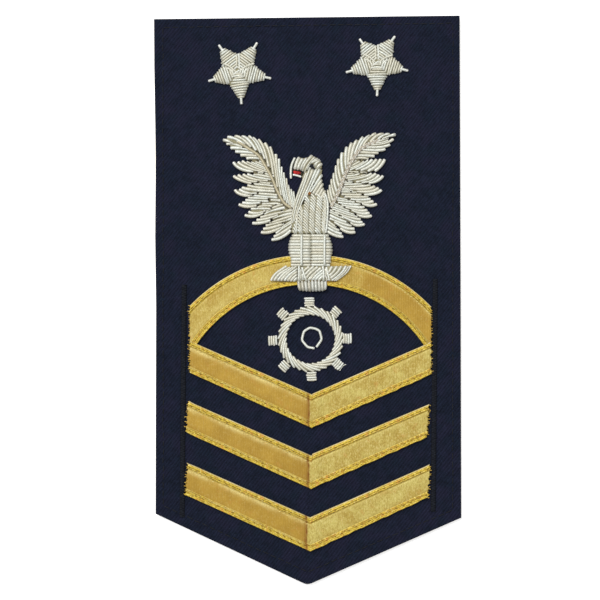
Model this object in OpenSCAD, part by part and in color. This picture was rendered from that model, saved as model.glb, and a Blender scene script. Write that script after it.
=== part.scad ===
// Embroidered rank patch: a navy cloth shield on a stiff backing, gold lace, and raised silver bullion.
// It lies flat on its back. X runs to the right, Y up the patch, Z out of its face. Millimetres.

/* [Patch] */
// Width of the cloth at its widest
patch_w = 104.6; // [100:0.2:120]
// Height of the cloth from its point to its highest corner
patch_h = 193.5; // [188:0.5:220]
// Height of the pointed end on the left, from the point to the corner
shoulder_left = 24.2; // [20:0.2:28]
// Height of the pointed end on the right
shoulder_right = 22.6; // [20:0.2:28]
// How much lower the left top corner sits
top_fall = 1.2; // [0:0.1:3]
// Radius of the rounded point
tip_r = 3.4; // [1:0.2:6]
// Thickness of the folded serge
cloth_t = 1.4; // [1:0.1:2.5]
// Radius of the pressed edge, where the cloth turns under
edge_r = 0.5; // [0.2:0.05:0.6]
// Thickness of the stiff backing
backing_t = 1.0; // [0.8:0.1:1.6]
// How far the backing stays inside the cloth
backing_inset = 0.7; // [0.6:0.1:1.5]
// Small clearance between pieces that lie on or beside each other
gap = 0.06; // [0.03:0.01:0.1]

/* [Lace] */
// Width of the lace
lace_w = 9.7; // [8:0.1:11]
// Thickness of the lace at its borders
lace_t = 1.1; // [0.9:0.05:1.5]
// How far the satin centre lies below the borders
lace_dip = 0.25; // [0.1:0.05:0.4]
// Width of each woven border
border_w = 1.9; // [1:0.1:2.5]
// Width across a chevron, end to end
chevron_w = 82; // [76:0.5:84]
// Distance from one chevron to the next
chevron_pitch = 21; // [18:0.1:22]
// Height of the lowest notch above the point of the cloth
chevron_low = 22.9; // [21:0.1:26]
// Extra depth of the folded point under each notch
fold_point = 1.2; // [0:0.1:2]
// Width of the pleat that the mitre fold makes
pleat_w = 4.2; // [2:0.2:6]
// Height of that pleat over the border
pleat_t = 0.2; // [0.1:0.05:0.4]
// Outer radius of the rocker
rocker_r = 57; // [52:0.5:62]
// Height of the rocker's centre above the lowest notch
rocker_lift = 32.5; // [28:0.5:36]
// How far the centre line of the design sits to the right of the cloth's middle
design_x = 0.8; // [0.6:0.1:1]

/* [Seams] */
// Width of the dark sewn bands
seam_w = 1.9; // [1:0.1:2.4]
// Height of the bands over the cloth
seam_t = 0.45; // [0.3:0.05:0.8]
// Cloth between half the chevrons' width and a band
seam_off = 0.85; // [0.8:0.05:2]
// Length of a band
seam_l = 79; // [70:0.5:84]
// Height of the left band's lower end above the point of the cloth
seam_low_left = 22.9; // [22:0.1:30]
// Height of the right band's lower end above the point of the cloth
seam_low_right = 24.8; // [22:0.1:30]
// How far the upper end of a band leans to the right
seam_lean = 0.7; // [0.5:0.1:1.2]

/* [Eagle] */
// Wing tip to wing tip
eagle_span = 58.5; // [52:0.5:62]
// How far the perch line lies below the top of the rocker
perch_drop = 4.1; // [3.5:0.1:4.8]
// Thickness of one bullion strand
strand_d = 0.9; // [0.7:0.05:1.1]
// Height of a feather at its root
wing_t = 1.5; // [1.1:0.05:2]
// Width of the cord over the feather roots
rib_w = 0.95; // [0.7:0.05:1.1]
// Height of that cord
rib_t = 1.8; // [1.4:0.05:2.2]
// Height of the head and neck
head_t = 1.9; // [1.5:0.05:2.6]
// Height of the breast
breast_t = 2.3; // [1.8:0.05:3]
// Height of the thighs over the cloth
thigh_t = 2.5; // [2.2:0.05:3.2]
// Height of the perch over the lace
perch_t = 1.2; // [0.9:0.05:1.8]
// Height of the tail over the cloth
tail_t = 2.1; // [1.9:0.05:3]

/* [Gear] */
// Outer radius of the rim
rim_r = 11; // [9.5:0.1:12]
// Width of the rim
rim_w = 2.85; // [2.2:0.05:3.2]
// Height of the rim
rim_t = 1.4; // [1:0.05:2]
// Number of strands in a tooth
tooth_strands = 4; // [3:1:4]
// Length of a tooth's strands
tooth_l = 3.5; // [2.5:0.1:4]
// Outer radius of the hub ring
hub_r = 3.9; // [3:0.1:5]
// How far the hub ring sits to the right of the rim's centre
hub_right = 0.5; // [-1:0.1:1]
// How far the hub ring sits above the rim's centre
hub_up = 0.4; // [-1:0.1:1]
// How far the gear's centre lies above the upper chevron's notch
gear_lift = 18.5; // [17:0.1:19.5]

/* [Stars] */
// Distance from a star's centre to the end of its tip strand
star_r = 11.4; // [9:0.1:12.5]
// Height of a star at its centre
star_t = 1.8; // [1.4:0.05:2.4]
// Height of a star at its edges
star_edge_t = 0.95; // [0.7:0.05:1.1]
// Distance between the two stars
star_gap = 47.2; // [40:0.2:56]
// How far the left star lies below the top of the cloth
star_drop_left = 19; // [14:0.1:24]
// How far the right star lies below the top of the cloth
star_drop_right = 16; // [14:0.1:24]

/* [Hidden] */
$fn = 48;
tip_steps = 8;
cloth_z = backing_t + gap;
face_z = cloth_z + cloth_t;
base_z = face_z + gap;
lace_top = base_z + lace_t;
over_lace_z = lace_top + gap;
bottom_y = -patch_h / 2;
top_y = patch_h / 2;
mean_slope = 23.3;
lace_rise = lace_w / cos(mean_slope);
border_rise = border_w / cos(mean_slope);
low_notch_y = bottom_y + chevron_low;
rocker_y = low_notch_y + rocker_lift;
perch_y = rocker_y + rocker_r - perch_drop;
gear_y = low_notch_y + 2 * chevron_pitch + gear_lift;
eagle_step = eagle_span / 172;
navy = [0.11, 0.12, 0.19];
cream = [0.86, 0.82, 0.70];
gold = [0.80, 0.64, 0.28];
silver = [0.86, 0.86, 0.80];
charcoal = [0.10, 0.10, 0.11];
red = [0.84, 0.16, 0.16];

// Sides of the cloth, from the corner of the pointed end up: share of the side's height, inset as a
// share of the pressed edge's radius
left_side = [[0, 1.1], [0.42, 1.4], [0.56, 0.8], [0.72, 1.2], [0.9, 0.2], [1, 0]];
right_side = [[0, 0], [0.5, 0.5], [1, 1.1]];
// The backing's left side is straight and leans out, so it shows where the cloth's side dips in
backing_side = [[0, 0.8], [1, -1.15]];

// Chevrons from the lowest up, all in shares of lace_w: fold_x, left_out, right_out, left_lean, right_lean,
// then the two slopes in degrees
chevrons = [
  [-0.015, 0.05, -0.02, -0.08, -0.09, 23.8, 23.8],
  [0.055, 0.04, -0.06, -0.06, -0.08, 23.4, 22.8],
  [0.07, -0.02, 0.01, 0, 0, 22.9, 23.2]
];

// The eagle is drawn in steps of 1/172 of its span, from the middle of the perch line.
// Line of the rib, then of the body's side: x, y
left_root = [
  [-73, 124.5], [-60, 116], [-51, 109.5], [-44, 98.5], [-38, 87.5], [-33, 75.5],
  [-26.5, 63.5], [-19.5, 57.5], [-18.4, 51.5], [-18.3, 43.5], [-18.3, 34.5]
];
right_root = [
  [71, 126], [60, 122], [50, 116], [42.5, 106], [37, 95.5], [32.5, 84.5],
  [28, 72.5], [21.5, 59.5], [19, 52.5], [18, 44.5], [17.2, 34.5]
];
// The last point of each root line that the rib covers
rib_end = 7;
// Feathers: tip_x, tip_y, low_x, low_y, top_x, top_y, root_low, root_top.
// low and top are where the lower and upper edges pass half way; the roots count points of the root line
left_feathers = [
  [-85, 121.5, -71.5, 110.5, -66, 116.5, 2.3, 1.95],
  [-77, 104, -64, 93.5, -61, 103.5, 3.5, 2.42],
  [-77, 90, -63, 81.5, -60, 91, 4.45, 3.6],
  [-75, 76.5, -62, 69, -58, 79.5, 5.35, 4.57],
  [-71.5, 61.5, -57, 57.5, -57, 67, 5.85, 5.47],
  [-65, 50, -47, 51.5, -50, 56.5, 6.15, 5.97],
  [-57.5, 42.5, -40.5, 43.5, -43, 49.5, 7.9, 6.3],
  [-49, 34, -34, 35, -37, 41.5, 8.9, 8.05],
  [-38.5, 25.5, -28, 27.5, -30.5, 34.5, 9.9, 9.05]
];
right_feathers = [
  [83.5, 126.5, 68, 111.5, 61.5, 117, 2.85, 2.5],
  [75.5, 107, 61, 93.5, 55, 104.5, 4.1, 3.03],
  [73, 90, 55, 81.5, 54, 91, 5.1, 4.25],
  [72, 76, 52, 69.5, 50, 79.5, 6, 5.25],
  [66.5, 61.5, 47, 60.5, 45, 67.5, 6.6, 6.15],
  [61.5, 50, 43.5, 52, 42, 57.5, 6.9, 6.72],
  [54.5, 41.5, 38.5, 42.5, 39, 49.5, 8, 7.05],
  [45.5, 34, 31.5, 35.5, 33, 41.5, 8.95, 8.2],
  [33.5, 28.5, 25.5, 30, 26.5, 36, 9.9, 9.15]
];
// Leading edge of the wing: x, y, and the point of the root line that it lies against
left_coverts = [
  [-86.5, 126.5, -0.55], [-79, 128.8, 0], [-69, 129.7, 0.5], [-61, 129.5, 0.9], [-52, 126, 1.4],
  [-44, 121.5, 2], [-37, 115, 2.7], [-31.5, 106.5, 3.4], [-28, 97.5, 4], [-24, 86.5, 4.7],
  [-20, 77, 5.4], [-17, 72.5, 5.9], [-17, 65.5, 6.4], [-17.5, 61.5, 6.7]
];
right_coverts = [
  [84.5, 131.5, -0.5], [76, 132.3, 0], [66, 132.7, 0.6], [56, 130.3, 1.2], [47, 126.8, 1.8],
  [39, 122, 2.4], [32.5, 114, 3], [28, 106, 3.6], [25, 97.5, 4.2], [22, 88.5, 4.9],
  [19.7, 80, 5.6], [19.6, 73, 6.1], [19.8, 66, 6.5], [20, 62, 6.75]
];
// Outlines of the body, in the same steps: x, y
head_outline = [
  [-13, 108], [-11, 108.5], [-7.5, 107.5], [-3.5, 108], [2, 110.2], [5, 108.8], [8, 107.2], [10.3, 105],
  [12, 101.5], [11.8, 97], [4.6, 96.8], [4, 101], [0.3, 101.7], [-1.5, 96.8], [-6, 93.5], [-7.5, 96.2],
  [-16.5, 96.2], [-15.8, 101.5]
];
beak_outline = [
  [-16, 108.2], [-13.9, 108.2], [-16.5, 101.5], [-17.4, 96.2], [-17.6, 91], [-17.6, 86.6],
  [-20.2, 86.6], [-20.2, 91.5], [-20, 96.5], [-19, 102]
];
lower_beak_outline = [[-17.1, 92], [-8.6, 90.4], [-8.6, 88.3], [-17.1, 89.6]];
tongue_outline = [[-17.1, 95.4], [-9.2, 93.8], [-9.2, 91.1], [-17.1, 92.7]];
neck_outline = [
  [-5.6, 93.2], [-1.2, 96.2], [12.2, 96.2], [11.6, 90], [11.8, 85], [13, 81], [13.2, 77], [14.8, 75],
  [8, 72], [1, 70], [-5, 68.5], [-10, 59.5], [-13.2, 50.5], [-15.2, 40.5], [-15.7, 33], [-18.7, 33],
  [-18.3, 43], [-17.6, 51.5], [-15.8, 60], [-14, 69], [-12, 75.5], [-10, 80.5], [-8, 85.5], [-7.8, 89.5]
];
breast_outline = [
  [-4.6, 67.9], [1.4, 69.4], [8.4, 71.4], [15.2, 74.3], [17, 70.5], [18.2, 64.5], [18.8, 58.5],
  [18.3, 50.5], [17.5, 40.5], [16.8, 31.6], [1, 31.3], [-15, 31.6], [-14.6, 40.1], [-12.6, 50.1],
  [-9.4, 59.1]
];
left_thigh_outline = [
  [0.7, 30.8], [0.7, 0.3], [-19, 0.3], [-19, 6.5], [-20, 10.5], [-21, 15.5], [-20.7, 22.5], [-19, 27.5],
  [-17, 30.8]
];
right_thigh_outline = [
  [1.3, 30.8], [17.8, 30.8], [20, 26.5], [21.6, 20.5], [21.8, 15.5], [21, 8.5], [20.2, 0.3], [1.3, 0.3]
];
left_perch_outline = [
  [-39.5, -15.2], [-35, -9.5], [-30, -4.5], [-25, -1], [-12.6, -0.3], [-12.4, -15.5], [-25, -15.8]
];
centre_perch_outline = [[-12, -0.3], [15.6, -0.3], [17.8, -14.7], [-12, -14.7]];
right_perch_outline = [[16.2, -0.3], [41.3, -0.1], [37, -5.5], [32, -10.5], [27, -15], [18.4, -15.5]];
tail_outline = [
  [-12, -15.4], [16.5, -15.4], [17, -20.5], [15.5, -24.5], [12, -25.1], [-8, -25.1], [-11, -23.5],
  [-12.5, -19.5]
];
// x of the cords down the two thighs, and how far they run: top y, bottom y
leg_cords = [-8.6, 14.4];
leg_cord_ends = [30.3, 1];

// Arms of a star: angle in degrees, reach of the tip strand as a share of star_r
left_star_arms = [[55.4, 1.02], [127.2, 0.97], [199.6, 0.94], [276.2, 1], [346.9, 1.01]];
right_star_arms = [[55.6, 0.94], [127.7, 0.87], [198.9, 0.98], [270.5, 1.02], [344, 0.96]];
// Shape of an arm in shares of star_r: how far out the padded part ends, half its width there,
// the notch between two arms
arm_end = 0.82;
arm_half = 0.105;
arm_notch = 0.49;

// Height of a star over its outline: share of the outline, share of the edge's height, share of the rise
// from the edge to the centre
star_levels = [[1, 0, 0], [1, 1, 0], [0.6, 1, 0.6], [0.25, 1, 1]];

// Angle of the first tooth, angle of the joint in the hub ring, and how far round the ring runs
first_tooth = 92;
hub_joint = -70;
hub_turn = 352;
// How closely strands lie side by side, as a share of their thickness
strand_press = 0.92;
// How far a corner of the pointed end moves up for each millimetre that the outline is drawn in
corner_share = 0.8;

// Section of a padded form: share of its width, share of its height
dome = [[0, 0], [0.03, 0.6], [0.2, 0.9], [0.5, 1], [0.8, 0.9], [0.97, 0.6], [1, 0]];
// Rings of a padded form: share of its soft edge, share of its height
pad_rings = [[0, 0], [0, 0.45], [0.3, 0.78], [0.65, 0.94], [1, 1]];
// Width of the soft edge of a broad form, of a narrow one and of a single strand, as shares of a strand
broad_edge = 1.6;
narrow_edge = 0.5;
strand_edge = 0.3;
feather_stations = 9;
tip_share = 0.62;

// Plain helpers
function mix(a, b, t) = a * (1 - t) + b * t;
function unit(v) = v / norm(v);
function left_of(v) = [-v[1], v[0]];
function xy(row) = [row[0], row[1]];
// A curve from a to b that passes m half way
function through(a, m, b, t) = a * (1 - t) * (1 - t) + (4 * m - a - b) * t * (1 - t) + b * t * t;
// A smooth curve through the points of a line; s counts its points
function smooth(p0, p1, p2, p3, u) =
  0.5 * (2 * p1 + (p2 - p0) * u + (2 * p0 - 5 * p1 + 4 * p2 - p3) * u * u
  + (3 * p1 - p0 - 3 * p2 + p3) * u * u * u);
function at(line, s) =
  let (last = len(line) - 1, i = max(0, min(last - 1, floor(s))), u = s - i)
  smooth(line[max(0, i - 1)], line[i], line[i + 1], line[min(last, i + 2)], u);
function heading(line, s) = unit(at(line, s + 0.05) - at(line, s - 0.05));
// A clockwise outline with each corner moved inwards
function drawn_in(points, by) =
  let (n = len(points))
  [for (k = [0:n - 1])
    let (before = unit(points[k] - points[(k + n - 1) % n]), after = unit(points[(k + 1) % n] - points[k]))
    points[k] - left_of(unit(before + after)) * by];

// A closed solid through rings that have the same number of points
module loft(rings, flip = false) {
  n = len(rings[0]);
  last = len(rings) - 1;
  sides = [for (i = [0:last - 1]) for (j = [0:n - 1]) for (half = [0, 1])
    let (a = i * n + j, b = i * n + (j + 1) % n, c = b + n, d = a + n)
    half == 0 ? [a, b, c] : [a, c, d]];
  start = [for (j = [n - 1:-1:0]) j];
  end = [for (j = [0:n - 1]) last * n + j];
  faces = concat(sides, [start], [end]);
  polyhedron(
    points = [for (ring = rings) for (p = ring) p],
    faces = flip ? [for (f = faces) [for (j = [len(f) - 1:-1:0]) f[j]]] : faces
  );
}

// Height of a point on a side between its two corners, drawn in at both ends
function side_y(low, high, share, inset) =
  mix(low + corner_share * inset, high - inset, share);

// Outline of the cloth, drawn in by a given amount, counter-clockwise from the point
function cloth_outline(inset, left_rows) =
  let (
    half = patch_w / 2,
    left_angle = atan(shoulder_left / half),
    right_angle = atan(shoulder_right / half),
    tip_inner = tip_r - inset,
    tip_centre = bottom_y + tip_r
  )
  concat(
    [for (k = [0:tip_steps]) let (a = -90 - left_angle + (left_angle + right_angle) * k / tip_steps)
      [tip_inner * cos(a), tip_centre + tip_inner * sin(a)]],
    [for (r = right_side)
      [half - r[1] * edge_r - inset, side_y(bottom_y + shoulder_right, top_y, r[0], inset)]],
    [for (i = [len(left_rows) - 1:-1:0]) let (r = left_rows[i])
      [-half + r[1] * edge_r + inset, side_y(bottom_y + shoulder_left, top_y - top_fall, r[0], inset)]]
  );

module ground_cloth() {
  rolls = [for (k = [0:4]) let (a = 90 * k / 4) [edge_r * (1 - sin(a)), edge_r * (1 - cos(a))]];
  levels = concat(
    [for (r = rolls) [r[0], cloth_z + r[1]]],
    [for (k = [4:-1:0]) [rolls[k][0], face_z - rolls[k][1]]]
  );
  color(navy)
    loft([for (l = levels) [for (p = cloth_outline(l[0], left_side)) [p[0], p[1], l[1]]]], flip = true);
}

module backing() {
  color(cream) linear_extrude(backing_t) polygon(cloth_outline(backing_inset, backing_side));
}

// One chevron seen from above: its corners from a drop under the upper edge to another
function notch_of(i) = [chevrons[i][0] * lace_w, low_notch_y + i * chevron_pitch];
function left_end(i) = -chevron_w / 2 - chevrons[i][1] * lace_w;
function right_end(i) = chevron_w / 2 + chevrons[i][2] * lace_w;
function edge_points(i, drop, point) =
  let (c = chevrons[i], notch = notch_of(i), share = drop / lace_rise, lx = left_end(i), rx = right_end(i))
  [
    [lx + c[3] * lace_w * share, notch[1] + (notch[0] - lx) * tan(c[5]) - drop],
    [notch[0], notch[1] - drop - point],
    [rx + c[4] * lace_w * share, notch[1] + (rx - notch[0]) * tan(c[6]) - drop]
  ];
function strip(i, from, to, from_point, to_point) =
  let (upper = edge_points(i, from, from_point), lower = edge_points(i, to, to_point))
  [upper[0], lower[0], lower[1], lower[2], upper[2], upper[1]];
// The point at x on an edge, which may lie past the edge's ends
function edge_at(points, x) =
  let (end = x < points[1][0] ? points[0] : points[2])
  mix(points[1], end, (x - points[1][0]) / (end[0] - points[1][0]));

// What is cut out between the borders, from one x to another
module satin_recess(i, from_x, to_x) {
  upper = edge_points(i, border_rise, 0);
  lower = edge_points(i, lace_rise - border_rise, fold_point);
  translate([0, 0, lace_t - lace_dip]) linear_extrude(lace_t) polygon([
    edge_at(upper, from_x), edge_at(lower, from_x), edge_at(lower, to_x), edge_at(upper, to_x)
  ]);
}

// What is cut off above the borders, from one x to another
module over_borders(i, from_x, to_x) {
  translate([from_x, notch_of(i)[1] - chevron_w, lace_t]) cube([to_x - from_x, 2 * chevron_w, lace_t]);
}

module chevron(i) {
  crease = notch_of(i)[0] - pleat_w / 4;
  far_left = left_end(i) - lace_w;
  far_right = right_end(i) + lace_w;
  color(gold) translate([design_x, 0, base_z]) difference() {
    linear_extrude(lace_t + pleat_t) polygon(strip(i, 0, lace_rise, 0, fold_point));
    over_borders(i, far_left, crease);
    over_borders(i, crease + pleat_w, far_right);
    satin_recess(i, far_left, crease);
    satin_recess(i, crease + pleat_w, far_right);
  }
}

module ring_band(outer, inner, high) {
  linear_extrude(high) difference() {
    circle(r = outer, $fn = 180);
    circle(r = inner, $fn = 180);
  }
}

// The space above the upper chevron and between the ends of the rocker
module rocker_window(clear, high) {
  upper = edge_points(2, 0, 0);
  lift = [0, gap - clear];
  low_left = [upper[0][0] - clear, upper[0][1]] + lift;
  low_right = [upper[2][0] + clear, upper[2][1]] + lift;
  linear_extrude(high) polygon([
    low_left, upper[1] + lift, low_right,
    [low_right[0], rocker_y + rocker_r + lace_w], [low_left[0], rocker_y + rocker_r + lace_w]
  ]);
}

module rocker() {
  inner = rocker_r - lace_w;
  color(gold) translate([design_x, 0, base_z]) intersection() {
    translate([0, rocker_y, 0]) {
      ring_band(rocker_r, inner, lace_t - lace_dip);
      ring_band(rocker_r, rocker_r - border_w, lace_t);
      ring_band(inner + border_w, inner, lace_t);
    }
    rocker_window(0, lace_t);
  }
}

// What the rocker and its clearance take away from a form that is embroidered across it
module rocker_room() {
  translate([design_x, rocker_y, face_z])
    ring_band(rocker_r + gap, rocker_r - lace_w - gap, over_lace_z - face_z);
}

module seam(side, low) {
  half = seam_w / 2;
  color(charcoal) translate([side * (chevron_w / 2 + seam_off + half), bottom_y + low, base_z])
    linear_extrude(seam_t)
      polygon([[-half, 0], [half, 0], [half + seam_lean, seam_l], [-half + seam_lean, seam_l]]);
}

// One arm's share of a star's outline: the notch before it, its shoulders and its tip strand
function arm_points(arms, k) =
  let (
    arm = arms[k],
    before = arms[(k + 4) % 5],
    turn = arm[0] - before[0] < 0 ? arm[0] - before[0] + 360 : arm[0] - before[0],
    notch_angle = arm[0] - turn / 2,
    out = [cos(arm[0]), sin(arm[0])],
    across = left_of(out),
    reach = arm[1] * star_r,
    end = arm[1] * arm_end * star_r,
    half = arm_half * star_r
  )
  [
    arm_notch * star_r * [cos(notch_angle), sin(notch_angle)],
    out * end - across * half,
    out * end - across * strand_d / 2,
    out * reach - across * strand_d / 2,
    out * reach + across * strand_d / 2,
    out * end + across * strand_d / 2,
    out * end + across * half
  ];

module star(arms) {
  outline = [for (k = [0:4]) for (p = arm_points(arms, k)) p];
  rise = star_t - star_edge_t;
  color(silver) loft(
    [for (l = star_levels)
      [for (p = outline) [p[0] * l[0], p[1] * l[0], base_z + l[1] * star_edge_t + l[2] * rise]]],
    flip = true
  );
}

module star_left() {
  translate([-star_gap / 2, top_y - star_drop_left, 0]) star(left_star_arms);
}

module star_right() {
  translate([star_gap / 2, top_y - star_drop_right, 0]) star(right_star_arms);
}

module gear_rim() {
  section = [for (d = dome) [rim_r - rim_w + d[0] * rim_w, d[1] * rim_t]];
  color(silver) translate([design_x, gear_y, base_z]) rotate_extrude($fn = 96) polygon(section);
}

module gear_hub() {
  color(silver) translate([design_x + hub_right, gear_y + hub_up, base_z + strand_d / 2])
    rotate([0, 0, hub_joint]) rotate_extrude(angle = hub_turn)
      translate([hub_r - strand_d / 2, 0]) circle(d = strand_d, $fn = 16);
}

// A tooth is a block of strands laid across its radius, outside the rim
module gear_tooth(k) {
  pitch = strand_d * strand_press;
  color(silver) translate([design_x, gear_y, base_z + strand_d / 2])
    rotate([0, 0, first_tooth - 45 * (k - 1)])
      for (i = [0:tooth_strands - 1])
        translate([rim_r + gap + strand_d / 2 + i * pitch, 0, 0])
          rotate([90, 0, 0]) cylinder(h = tooth_l, d = strand_d, center = true, $fn = 24);
}

// Ring of a padded form between two edges a and b
function dome_ring(a, b, high) = [for (d = dome) concat(mix(a, b, d[0]), base_z + d[1] * high)];

// The edge of the rib or of the body's side that feathers (side 1) or coverts (side -1) lie against
function beside(line, wing, side, s) =
  at(line, s) * eagle_step + wing * side * left_of(heading(line, s)) * (rib_w / 2 + gap);

module feather(line, row, wing) {
  root_low = beside(line, wing, 1, row[6]);
  root_top = beside(line, wing, 1, row[7]);
  tip = xy(row) * eagle_step;
  low = [row[2], row[3]] * eagle_step;
  top = [row[4], row[5]] * eagle_step;
  tip_top = tip - wing * left_of(unit(low - tip)) * strand_d;
  rings = [for (k = [0:feather_stations - 1]) let (t = k / (feather_stations - 1))
    dome_ring(
      through(tip, low, root_low, t), through(tip_top, top, root_top, t), wing_t * mix(tip_share, 1, t)
    )];
  color(silver) translate([design_x, perch_y, 0]) loft(rings, flip = wing > 0);
}

// Inner edge of the coverts; a count below zero lies that share of the way from the rib's end to the tip
function covert_root(line, rows, wing, s) =
  mix(beside(line, wing, -1, max(0, s)), xy(rows[0]) * eagle_step, max(0, -s));

module covert(line, rows, wing) {
  rings = [for (k = [0:2 * len(rows) - 2]) let (r = at(rows, k / 2))
    dome_ring(xy(r) * eagle_step, covert_root(line, rows, wing, r[2]), wing_t)];
  color(silver) translate([design_x, perch_y, 0]) loft(rings, flip = wing < 0);
}

module rib(line) {
  sides = 8;
  turns = 20;
  rings = [for (k = [0:turns])
    let (s = rib_end * k / turns, c = at(line, s) * eagle_step, across = left_of(heading(line, s)))
    [for (j = [0:sides - 1]) let (a = 360 * j / sides)
      concat(c + across * rib_w / 2 * cos(a), base_z + rib_t / 2 * (1 + sin(a)))]];
  color(silver) translate([design_x, perch_y, 0]) loft(rings, flip = true);
}

// A padded form over an outline that runs clockwise, as seen from above
module pad(outline, low_z, high, soft) {
  points = outline * eagle_step;
  rings = [for (r = pad_rings)
    [for (p = drawn_in(points, r[0] * soft * strand_d)) concat(p, low_z + r[1] * high)]];
  translate([design_x, perch_y, 0]) loft(rings);
}

module head() {
  color(silver) pad(head_outline, base_z, head_t, narrow_edge);
}

module beak_upper() {
  color(silver) pad(beak_outline, base_z, strand_d, strand_edge);
}

module beak_lower() {
  color(silver) pad(lower_beak_outline, base_z, strand_d, strand_edge);
}

module tongue() {
  color(red) pad(tongue_outline, base_z, strand_d, strand_edge);
}

module neck() {
  color(silver) pad(neck_outline, base_z, head_t, narrow_edge);
}

module breast() {
  color(silver) pad(breast_outline, base_z, breast_t, broad_edge);
}

module thigh(outline) {
  color(silver) difference() {
    pad(outline, base_z, thigh_t, broad_edge);
    rocker_room();
  }
}

// A strand laid down the middle of a thigh
module leg_cord(x) {
  top = leg_cord_ends[0] * eagle_step;
  low = leg_cord_ends[1] * eagle_step;
  color(silver)
    translate([design_x + x * eagle_step, perch_y + low, base_z + thigh_t + gap + strand_d / 2])
      rotate([-90, 0, 0]) cylinder(h = top - low, d = strand_d, $fn = 24);
}

module perch(outline) {
  color(silver) pad(outline, over_lace_z, perch_t, 1);
}

module tail() {
  color(silver) difference() {
    pad(tail_outline, base_z, tail_t, 1);
    rocker_room();
  }
}

ground_cloth();
backing();
rocker();
chevron(0);  // chevron_lower
chevron(1);  // chevron_middle
chevron(2);  // chevron_upper
seam(-1, seam_low_left);  // seam_left
seam(1, seam_low_right);  // seam_right
star_left();
star_right();
gear_rim();
gear_hub();
covert(left_root, left_coverts, -1);  // covert_left
covert(right_root, right_coverts, 1);  // covert_right
rib(left_root);  // rib_left
rib(right_root);  // rib_right
for (k = [1:8]) {
  gear_tooth(k);
}
for (k = [1:9]) {
  feather(left_root, left_feathers[k - 1], -1);
  feather(right_root, right_feathers[k - 1], 1);
}
head();
beak_upper();
beak_lower();
tongue();
neck();
breast();
thigh(left_thigh_outline);  // thigh_left
thigh(right_thigh_outline);  // thigh_right
leg_cord(leg_cords[0]);  // leg_cord_left
leg_cord(leg_cords[1]);  // leg_cord_right
perch(left_perch_outline);  // perch_left
perch(centre_perch_outline);  // perch_centre
perch(right_perch_outline);  // perch_right
tail();
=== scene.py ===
"""Looks of the rank chevron patch: serge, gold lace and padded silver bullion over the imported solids.

Lengths are millimetres until a piece is made, and metres from there on. X runs to the right, Y up the
patch and Z out of its face.
"""

import math
import random

import bmesh
import bpy
import numpy as np
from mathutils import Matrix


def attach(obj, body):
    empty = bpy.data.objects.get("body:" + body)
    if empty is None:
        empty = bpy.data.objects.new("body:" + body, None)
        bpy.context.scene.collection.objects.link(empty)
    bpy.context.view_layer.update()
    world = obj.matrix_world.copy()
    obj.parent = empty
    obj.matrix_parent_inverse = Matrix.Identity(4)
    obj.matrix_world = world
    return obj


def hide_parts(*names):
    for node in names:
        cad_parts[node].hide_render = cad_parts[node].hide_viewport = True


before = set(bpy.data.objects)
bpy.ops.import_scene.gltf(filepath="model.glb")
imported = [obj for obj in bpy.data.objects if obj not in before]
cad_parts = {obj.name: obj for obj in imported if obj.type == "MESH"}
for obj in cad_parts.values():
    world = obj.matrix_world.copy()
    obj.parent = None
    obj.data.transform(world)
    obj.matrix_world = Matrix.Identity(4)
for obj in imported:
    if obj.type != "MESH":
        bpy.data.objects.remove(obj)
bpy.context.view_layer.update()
MM = 0.001

# Sizes that part.scad sets
PATCH_W, BOTTOM_Y, TOP_Y, DESIGN_X = 104.6, -96.75, 96.75, 0.8
SHOULDER_LEFT, SHOULDER_RIGHT, TOP_FALL, TIP_R = 24.2, 22.6, 1.2, 3.4
CLOTH_Z, FACE_Z, BASE_Z, OVER_LACE_Z = 1.06, 2.46, 2.52, 3.68
EDGE_R, BACKING_INSET, BACKING_T = 0.5, 0.7, 1.0
LACE_W, LACE_T, BORDER_W, FOLD_POINT, PLEAT_W, PLEAT_T = 9.7, 1.1, 1.9, 1.2, 4.2, 0.2
LACE_RISE, CHEVRON_W, LOW_NOTCH_Y, CHEVRON_PITCH = 10.56, 82.0, -73.85, 21.0
ROCKER_R, ROCKER_Y, PERCH_Y, GEAR_Y = 57.0, -41.35, 11.55, -13.35
STEP = 58.5 / 172
STRAND_D, GAP, RIB_T = 0.9, 0.06, 1.8
WING_T, HEAD_T, BREAST_T, THIGH_T, PERCH_T, TAIL_T = 1.5, 1.9, 2.3, 2.5, 1.2, 2.1
STAR_R, ARM_END, ARM_HALF, ARM_NOTCH = 11.4, 0.82, 0.105, 0.49
RIM_R, RIM_W, RIM_T, TOOTH_L, FIRST_TOOTH = 11.0, 2.85, 1.4, 3.5, 92

# Sizes that only the looks have
PURL_R = 0.42
RIM_SHIFT = 0.2  # the rim is sewn a little to the right of its teeth
STRAND_POINTS = 36  # along each strand of a wing
SHORT_STRAND = 7.3  # strands of the feathers under this length are the inner ones
UPRIGHT = 1.09  # height over a sloping edge for each millimetre square to it
ARM_COLUMNS, ROCKER_COLUMNS = 140, 301  # sections of the lace in each arm of a chevron and in the rocker
CHEVRON_FRAYS, ROCKER_FRAYS = 13, 16  # broken threads at each cut end
THIGH_ROWS, THIGH_TOP, THIGH_PITCH, BREAST_FOOT = 11, 235.5, 2.91, 233.6  # in chart units
STAR_PITCH = 0.82
TOOTH_PITCH = 0.79
ARM_ANGLE = math.radians(36)  # half of the angle between a star's arms
CHART_X, CHART_Y, CHART_GEAR_Y = 310, 265.5, 339.3  # the eagle's origin and the gear's middle in the chart
MEAN_SLOPE = math.radians(23.3)  # of the arms of the chevrons
STITCH_IN, STITCH_PITCH = 1.05, 2.55  # couching stitches, from the lace's edge and along it
STITCH_Z, DASH_Z, SATIN_H = BASE_Z + LACE_T * 0.93, BASE_Z + LACE_T * 0.8, 0.785
SEEDS = {"hem": 3, "gear": 11, "chevrons": 20, "rocker": 44, "head": 61, "body": 71, "perch": 81, "tail": 91}
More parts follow.
